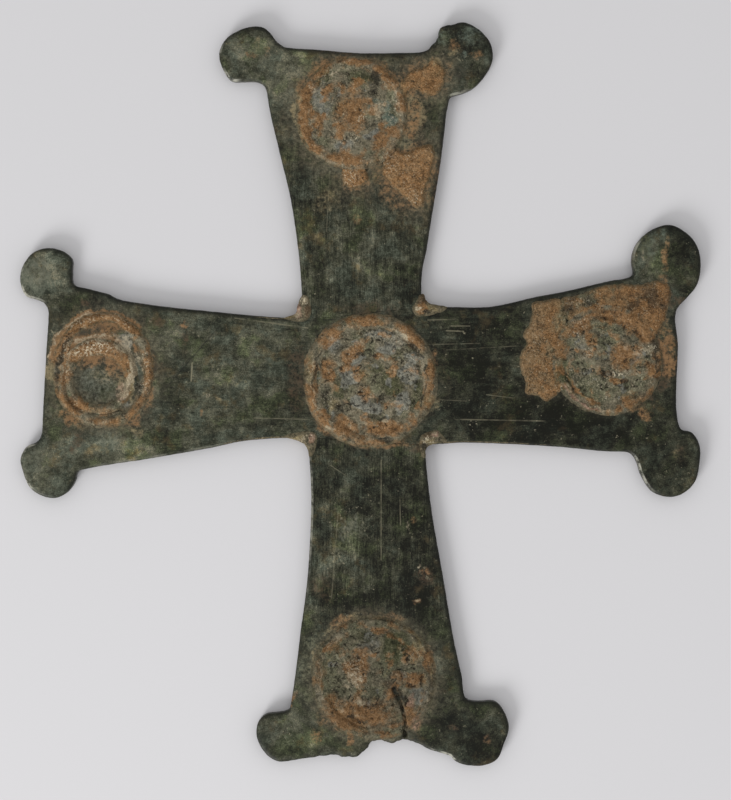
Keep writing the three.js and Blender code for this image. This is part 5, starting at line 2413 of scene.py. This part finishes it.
@dataclass(frozen=True)
class Recipe:
    """A Geometry Nodes tree being built, with named inputs."""

    tree: bpy.types.NodeTree
    graph: Graph
    given: bpy.types.Node

    @classmethod
    def named(cls, name: str, inputs: dict[str, str]) -> "Recipe":
        """Start a tree.

        Args:
            name: The tree's name.
            inputs: The socket type of each input after the geometry.

        Returns:
            The new recipe.
        """
        tree = bpy.data.node_groups.new(name, "GeometryNodeTree")
        tree.interface.new_socket("Geometry", in_out="OUTPUT", socket_type="NodeSocketGeometry")
        tree.interface.new_socket("Geometry", in_out="INPUT", socket_type="NodeSocketGeometry")
        for label, kind in inputs.items():
            tree.interface.new_socket(label, in_out="INPUT", socket_type=kind)
        return cls(tree, Graph(tree), tree.nodes.new("NodeGroupInput"))

    def input(self, label: str) -> Wire:
        """One of the tree's own inputs."""
        return Wire(self.graph, self.given.outputs[label])

    def ends(self, shape: Wire) -> None:
        """Realize the instances, set the finish and hand the shape out.

        Args:
            shape: What the tree made.
        """
        real = self.graph.node("GeometryNodeRealizeInstances", None, {"Geometry": shape})
        shown = self.graph.node(
            "GeometryNodeSetMaterial", None, {"Geometry": real, "Material": self.input("Finish")}
        )
        self.graph.node("NodeGroupOutput", None, {"Geometry": shown})

    def applied(self, name: str, carrier: Piece, values: dict[str, object]) -> Piece:
        """Run the tree on a carrier and keep what it makes as a mesh of its own.

        Args:
            name: The new piece's name.
            carrier: The object that the tree starts from; it is removed.
            values: What goes into the tree's inputs.

        Returns:
            The new piece.
        """
        modifier = carrier.modifiers.new(name, "NODES")
        modifier.node_group = self.tree
        sockets = {item.name: item.identifier for item in self.tree.interface.items_tree}
        for label, value in values.items():
            modifier[sockets[label]] = value
        bpy.context.view_layer.update()
        ready = carrier.evaluated_get(bpy.context.evaluated_depsgraph_get())
        mesh = bpy.data.meshes.new_from_object(ready)
        mesh.name = name
        bpy.data.objects.remove(carrier)
        piece = bpy.data.objects.new(name, mesh)
        bpy.context.scene.collection.objects.link(piece)
        return piece


def bead_recipe() -> Recipe:
    """A tree that thickens a line into an uneven bead.

    Returns:
        The finished tree.
    """
    made = Recipe.named(
        "bead", {"Sides": "NodeSocketInt", "Rough": "NodeSocketFloat", "Finish": "NodeSocketMaterial"}
    )
    graph = made.graph
    line = graph.node("GeometryNodeMeshToCurve", None, {"Mesh": made.input("Geometry")})
    thick = graph.node("GeometryNodeInputNamedAttribute", {"data_type": "FLOAT"}, {"Name": "thick"})
    profile = graph.node(
        "GeometryNodeCurvePrimitiveCircle", None, {"Resolution": made.input("Sides"), "Radius": 1.0}
    )
    tube = graph.node(
        "GeometryNodeCurveToMesh",
        None,
        {"Curve": line, "Profile Curve": profile, "Scale": thick, "Fill Caps": True},
    )
    place = graph.node("GeometryNodeInputPosition")
    rough = graph.node("ShaderNodeTexNoise", None, {"Vector": place, "Scale": 1100.0, "Detail": 3.0})
    push = graph.scaled(graph.node("GeometryNodeInputNormal"), (rough - 0.5) * made.input("Rough"))
    moved = graph.node("GeometryNodeSetPosition", None, {"Geometry": tube, "Offset": push})
    smooth = graph.node("GeometryNodeSetShadeSmooth", None, {"Geometry": moved})
    made.ends(smooth)
    return made


def grain_recipe() -> Recipe:
    """A tree that scatters grains over a surface, thickest where its grit is.

    Returns:
        The finished tree.
    """
    made = Recipe.named(
        "grains",
        {
            "Density": "NodeSocketFloat",
            "Smallest": "NodeSocketFloat",
            "Largest": "NodeSocketFloat",
            "Seed": "NodeSocketInt",
            "Grain": "NodeSocketObject",
            "Finish": "NodeSocketMaterial",
        },
    )
    graph = made.graph
    grit = graph.node("GeometryNodeInputNamedAttribute", {"data_type": "FLOAT"}, {"Name": "grit"})
    points = graph.node(
        "GeometryNodeDistributePointsOnFaces",
        None,
        {
            "Mesh": made.input("Geometry"),
            "Density": grit * made.input("Density"),
            "Seed": made.input("Seed"),
        },
    )
    shape = graph.node("GeometryNodeObjectInfo", None, {"Object": made.input("Grain")}, "Geometry")
    smallest, largest = made.input("Smallest"), made.input("Largest")
    size = graph.node(
        "FunctionNodeRandomValue",
        {"data_type": "FLOAT_VECTOR"},
        {
            0: graph.node("ShaderNodeCombineXYZ", None, dict.fromkeys(range(3), smallest)),
            1: graph.node("ShaderNodeCombineXYZ", None, dict.fromkeys(range(3), largest)),
            "Seed": made.input("Seed"),
        },
    )
    turn = graph.node(
        "FunctionNodeRandomValue",
        {"data_type": "FLOAT_VECTOR"},
        {0: (0.0, 0.0, 0.0), 1: (6.28, 6.28, 6.28), "Seed": made.input("Seed")},
    )
    placed = graph.node(
        "GeometryNodeInstanceOnPoints",
        None,
        {"Points": points, "Instance": shape, "Rotation": turn, "Scale": size},
    )
    values = {2: -1.0, 3: 1.0, "Seed": made.input("Seed")}
    shade = graph.node("FunctionNodeRandomValue", {"data_type": "FLOAT"}, values, 1)
    kept = graph.node(
        "GeometryNodeStoreNamedAttribute",
        {"data_type": "FLOAT", "domain": "INSTANCE"},
        {"Geometry": placed, "Name": "peak", "Value": shade},
    )
    made.ends(kept)
    return made


def grain_shape(seed: int, rows: int = 3, sides: int = 6) -> Piece:
    """A closed, knobbly grain about one unit across.

    Args:
        seed: The seed of its knobs.
        rows: Rings of corners between its poles.
        sides: Corners in a ring.

    Returns:
        The grain.
    """
    dice = np.random.default_rng(seed)
    corners = [(0.0, 0.0, 0.5)]
    for row in range(rows):
        level = math.pi * (row + 1) / (rows + 1)
        for side in range(sides):
            angle = 2 * math.pi * (side + 0.5 * (row % 2)) / sides
            reach = 0.5 * dice.uniform(0.72, 1.15)
            across = reach * math.sin(level)
            corners.append(
                (across * math.cos(angle), across * math.sin(angle), reach * math.cos(level))
            )
    corners.append((0.0, 0.0, -0.45))
    faces = []
    for side in range(sides):
        after = (side + 1) % sides
        faces.append((0, 1 + side, 1 + after))
        for row in range(rows - 1):
            high, low = 1 + row * sides, 1 + (row + 1) * sides
            if row % 2:
                faces.append((high + side, low + side, low + after))
                faces.append((high + side, low + after, high + after))
            else:
                faces.append((high + side, low + side, high + after))
                faces.append((high + after, low + side, low + after))
        last = 1 + (rows - 1) * sides
        faces.append((last + after, last + side, len(corners) - 1))
    return new_piece(f"grain_shape_{seed}", np.array(corners), np.array(faces), {})


def line_carrier(bead: Bead, loop: Array) -> Piece:
    """The line along the bar's edge that a bead follows, as a mesh of edges.

    Args:
        bead: The bead.
        loop: The bar's outline.

    Returns:
        The line.
    """
    start = int(np.argmin(np.linalg.norm(loop - bead.start, axis=1)))
    stop = int(np.argmin(np.linalg.norm(loop - bead.stop, axis=1)))
    count = len(loop)
    ahead, behind = (stop - start) % count, (start - stop) % count
    step = 1 if ahead <= behind else -1
    order = [(start + step * k) % count for k in range(min(ahead, behind) + 1)]
    path = loop[order] - outward(loop)[order] * bead.inset
    travel = np.linspace(0, 1, len(path))
    noise = Noise(bead.seed)
    uneven = 0.75 + 0.5 * noise.fractal(path, 3.0) + 0.25 * noise.smooth(path, 1.0)
    thick = (bead.thick + (bead.thin - bead.thick) * travel**0.6) * np.clip(uneven, 0.25, 1.6)
    level = bead.level + 0.08 * noise.smooth(path + 9.0, 4.0)
    mesh = bpy.data.meshes.new(bead.name)
    points = np.column_stack([path, level]) * METRES
    mesh.from_pydata(points.tolist(), [(k, k + 1) for k in range(len(points) - 1)], [])
    attribute = mesh.attributes.new("thick", "FLOAT", "POINT")
    attribute.data.foreach_set("value", (thick * METRES).astype(np.float32))
    carrier = bpy.data.objects.new(bead.name, mesh)
    bpy.context.scene.collection.objects.link(carrier)
    return carrier


# The studio


@dataclass(frozen=True)
class Studio:
    """A pale floor, soft light and the camera over the cross."""

    aim: Place = (-0.3, -6.6)
    rise: float = 720.0
    lens: float = 108.0
    floor: Colour = (213, 212, 214)
    floor_half: float = 1600.0
    floor_level: float = -0.03
    dome: float = 0.73
    gleam: float = 0.25
    key: float = 14.0
    key_size: float = 0.6
    key_place: tuple[float, float, float] = (-0.75, -1.1, 0.65)

    def build(self) -> None:
        """Put everything in place."""
        square = np.array([(-1, -1, 0), (1, -1, 0), (1, 1, 0), (-1, 1, 0)], float)
        corners = self.floor_half * square
        corners[:, 2] = self.floor_level
        ground = new_piece("floor", corners, np.array([(0, 1, 2), (0, 2, 3)]), {})
        ground.data.materials.append(Plain("pale_floor", self.floor).material())
        world = bpy.data.worlds.new("dome")
        world.use_nodes = True
        bpy.context.scene.world = world
        sky = Graph(world.node_tree)
        glossy = sky.node("ShaderNodeLightPath", None, None, "Is Glossy Ray")
        tint = sky.mix(glossy, (1.0, 1.0, 1.0, 1.0), (self.gleam, self.gleam, self.gleam, 1.0))
        world.node_tree.nodes.remove(world.node_tree.nodes["World Output"])
        shine = sky.node("ShaderNodeBackground", None, {"Color": tint, "Strength": self.dome})
        sky.node("ShaderNodeOutputWorld", None, {"Surface": shine})
        light = bpy.data.lights.new("key", "AREA")
        light.shape = "DISK"
        light.size = self.key_size
        light.energy = self.key
        lamp = bpy.data.objects.new("key", light)
        lamp.location = self.key_place
        lamp.rotation_euler = (-Vector(self.key_place)).to_track_quat("-Z", "Y").to_euler()
        bpy.context.scene.collection.objects.link(lamp)
        camera = bpy.data.cameras.new("camera")
        camera.lens = self.lens
        eye = bpy.data.objects.new("camera", camera)
        eye.location = Vector((*self.aim, self.rise + PLATE)) * METRES
        bpy.context.scene.collection.objects.link(eye)
        bpy.context.scene.camera = eye
        bpy.context.scene.view_settings.view_transform = "Standard"


# Everything together


def roughened(loop: Array) -> Array:
    """A bar's outline as cast: slightly uneven, and jagged at the break.

    Args:
        loop: The outline.

    Returns:
        The outline with its unevenness.
    """
    fine = resampled(loop, 0.45)
    noise = Noise(7)
    broken = smoothstep(*BREAK_LEVELS, fine[:, 1])
    broken *= smoothstep(*BREAK_HALVES, np.abs(fine[:, 0]))
    notch = smoothstep(*NOTCH_REACH, np.hypot(fine[:, 0] - NOTCH[0], fine[:, 1] - NOTCH[1]))
    amount = 0.06 + 0.4 * broken + 0.3 * notch
    move = amount * (noise.fractal(fine, 3.0) + 0.5 * noise.smooth(fine, 1.2))
    return fine + outward(fine) * move[:, None]


SCRATCHES_CROSS = each(
    Scratch,
    ((-39.5, 18), (-17.6, 15), 0.3, 0.5), ((-33.8, -12), (-17.6, -12.4), 0.25, 0.4),
    ((-52.3, 4.5), (-52.6, -0.9), 0.35, 0.7), ((-43.4, 16.4), (-62, -5.1), 0.3, -0.6),
    ((-20, 17.2), (-9.5, 17.5), 0.35, -0.8), ((-40, 16.4), (-22, 14.6), 0.25, -0.5),
    ((8.6, 9.8), (34, 10.4), 0.22, 0.35), ((26.6, -12.4), (53.6, -12.9), 0.28, 0.4),
    ((18.4, 17.4), (26.6, 17.6), 0.25, 0.4), ((36, -5), (44, -6), 0.22, 0.35),
    ((-95.9, 34.2), (-94.4, 27), 0.25, 0.4), ((-94.7, 34.8), (-93.2, 27.6), 0.25, 0.4),
    ((-96.8, 33), (-95.3, 26.4), 0.22, 0.3), ((-93.5, 33.6), (-92.3, 28.2), 0.22, 0.35),
    ((24, 8.4), (45, 9.6), 0.2, 0.3), ((24, 14.2), (29, 14), 0.3, 0.5),
    ((25, 15.6), (31, 15.6), 0.25, 0.45), ((22, -6.5), (30, -6.9), 0.2, 0.3),
)

SCRATCHES_UPRIGHT = each(
    Scratch,
    ((-12, 44), (-11, 62), 0.22, 0.3), ((4.4, -24.6), (4.4, -54.6), 0.24, 0.45),
    ((10, -36.6), (10.2, -44.1), 0.24, 0.4), ((-11, -26.1), (-6.5, -29.1), 0.22, 0.35),
    ((-3.4, -36.3), (4, -36.3), 0.26, -0.7), ((7, -37.5), (10, -37.7), 0.26, -0.7),
    ((-8.5, -40), (-10.5, -66), 0.3, 0.25),
)


def main() -> None:
    """Build the cross and its studio."""
    logging.basicConfig(level=logging.INFO, format="%(name)s: %(message)s")
    upright = roughened(CadNode("upright_bar").wall_loop(UPRIGHT_WALL))
    cross_bar = roughened(CadNode("cross_bar").wall_loop(CROSS_WALL))
    relief = Relief(marks(), upright, cross_bar)
    deposits, free = planned(relief)
    ground = Nearest(np.concatenate([loop for deposit in deposits for loop in deposit.loops]))

    upright_finish = Bronze("upright_patina", 90.0, 0.95, SCRATCHES_UPRIGHT).material()
    cross_finish = Bronze("cross_bar_patina", 0.0, 0.5, SCRATCHES_CROSS).material()
    finishes = {
        Kind.RIM: Mineral("rim_mineral").material(),
        Kind.BED: Mineral("bed_mineral").material(),
        Kind.CRUST: CRUST_MINERAL.material(),
    }
    solder = GREY_SOLDER.material()

    bars = (
        Bar("upright_bar", Slot.UPRIGHT, upright, cross_bar, True, relief, ground),
        Bar("cross_bar", Slot.CROSS_BAR, cross_bar, upright, False, relief, ground),
    )
    for bar, finish in zip(bars, (upright_finish, cross_finish)):
        bar.piece(finish)

    surfaces: dict[str, list] = {}
    for deposit in deposits:
        corners, faces, count, fields = deposit.solid(relief, free)
        rim = sum(len(loop) for loop in deposit.loops)
        piece = new_piece(f"{deposit.node}_rough", corners, faces, fields, rim)
        settle(piece, finishes[deposit.kind], deposit.kind.value, deposit.node)
        surfaces.setdefault(deposit.mark.name, []).append((corners, faces, count, fields))

    for corner in CORNER_SOLDERS:
        corner.piece(relief, solder)
    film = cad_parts["lap_solder"]
    film.data.materials.clear()
    film.data.materials.append(solder)

    beads = bead_recipe()
    for bead in BEADS:
        values = {"Sides": bead.sides, "Rough": bead.rough * METRES, "Finish": solder}
        piece = beads.applied(bead.name, line_carrier(bead, cross_bar), values)
        settle(piece, solder, Slot.SOLDER)

    grains = grain_recipe()
    shape = grain_shape(1)
    for index, (name, parts) in enumerate(surfaces.items()):
        carrier = joined_tops(f"grains_{name}", parts)
        own = {"Seed": GRAIN_SEED + index, "Grain": shape, "Finish": finishes[Kind.BED]}
        piece = grains.applied(f"grains_{name}", carrier, GRIT | own)
        settle(piece, finishes[Kind.BED], Slot.BED)
    bpy.data.objects.remove(shape)

    Studio().build()


def joined_tops(name: str, parts: Sequence[tuple]) -> Piece:
    """The upper faces of a mark's deposits as one carrier, with where its grit lies.

    Args:
        name: The carrier's name.
        parts: What each deposit's solid returned.

    Returns:
        The carrier.
    """
    corners, faces, fields = [], [], {}
    first = 0
    for all_corners, all_faces, count, values in parts:
        corners.append(all_corners[:count])
        faces.append(all_faces[(all_faces < count).all(axis=1)] + first)
        for label, value in values.items():
            fields.setdefault(label, []).append(value[:count])
        first += count
    merged = {label: np.concatenate(values) for label, values in fields.items()}
    points = np.concatenate(corners)
    patchy = smoothstep(-0.5, 0.5, Noise(201).fractal(points[:, :2], 3.6))
    merged["grit"] = patchy * (0.35 + 0.65 * smoothstep(-0.6, 0.4, merged["peak"]))
    return new_piece(name, points, np.concatenate(faces), merged)


if __name__ == "__main__":
    main()
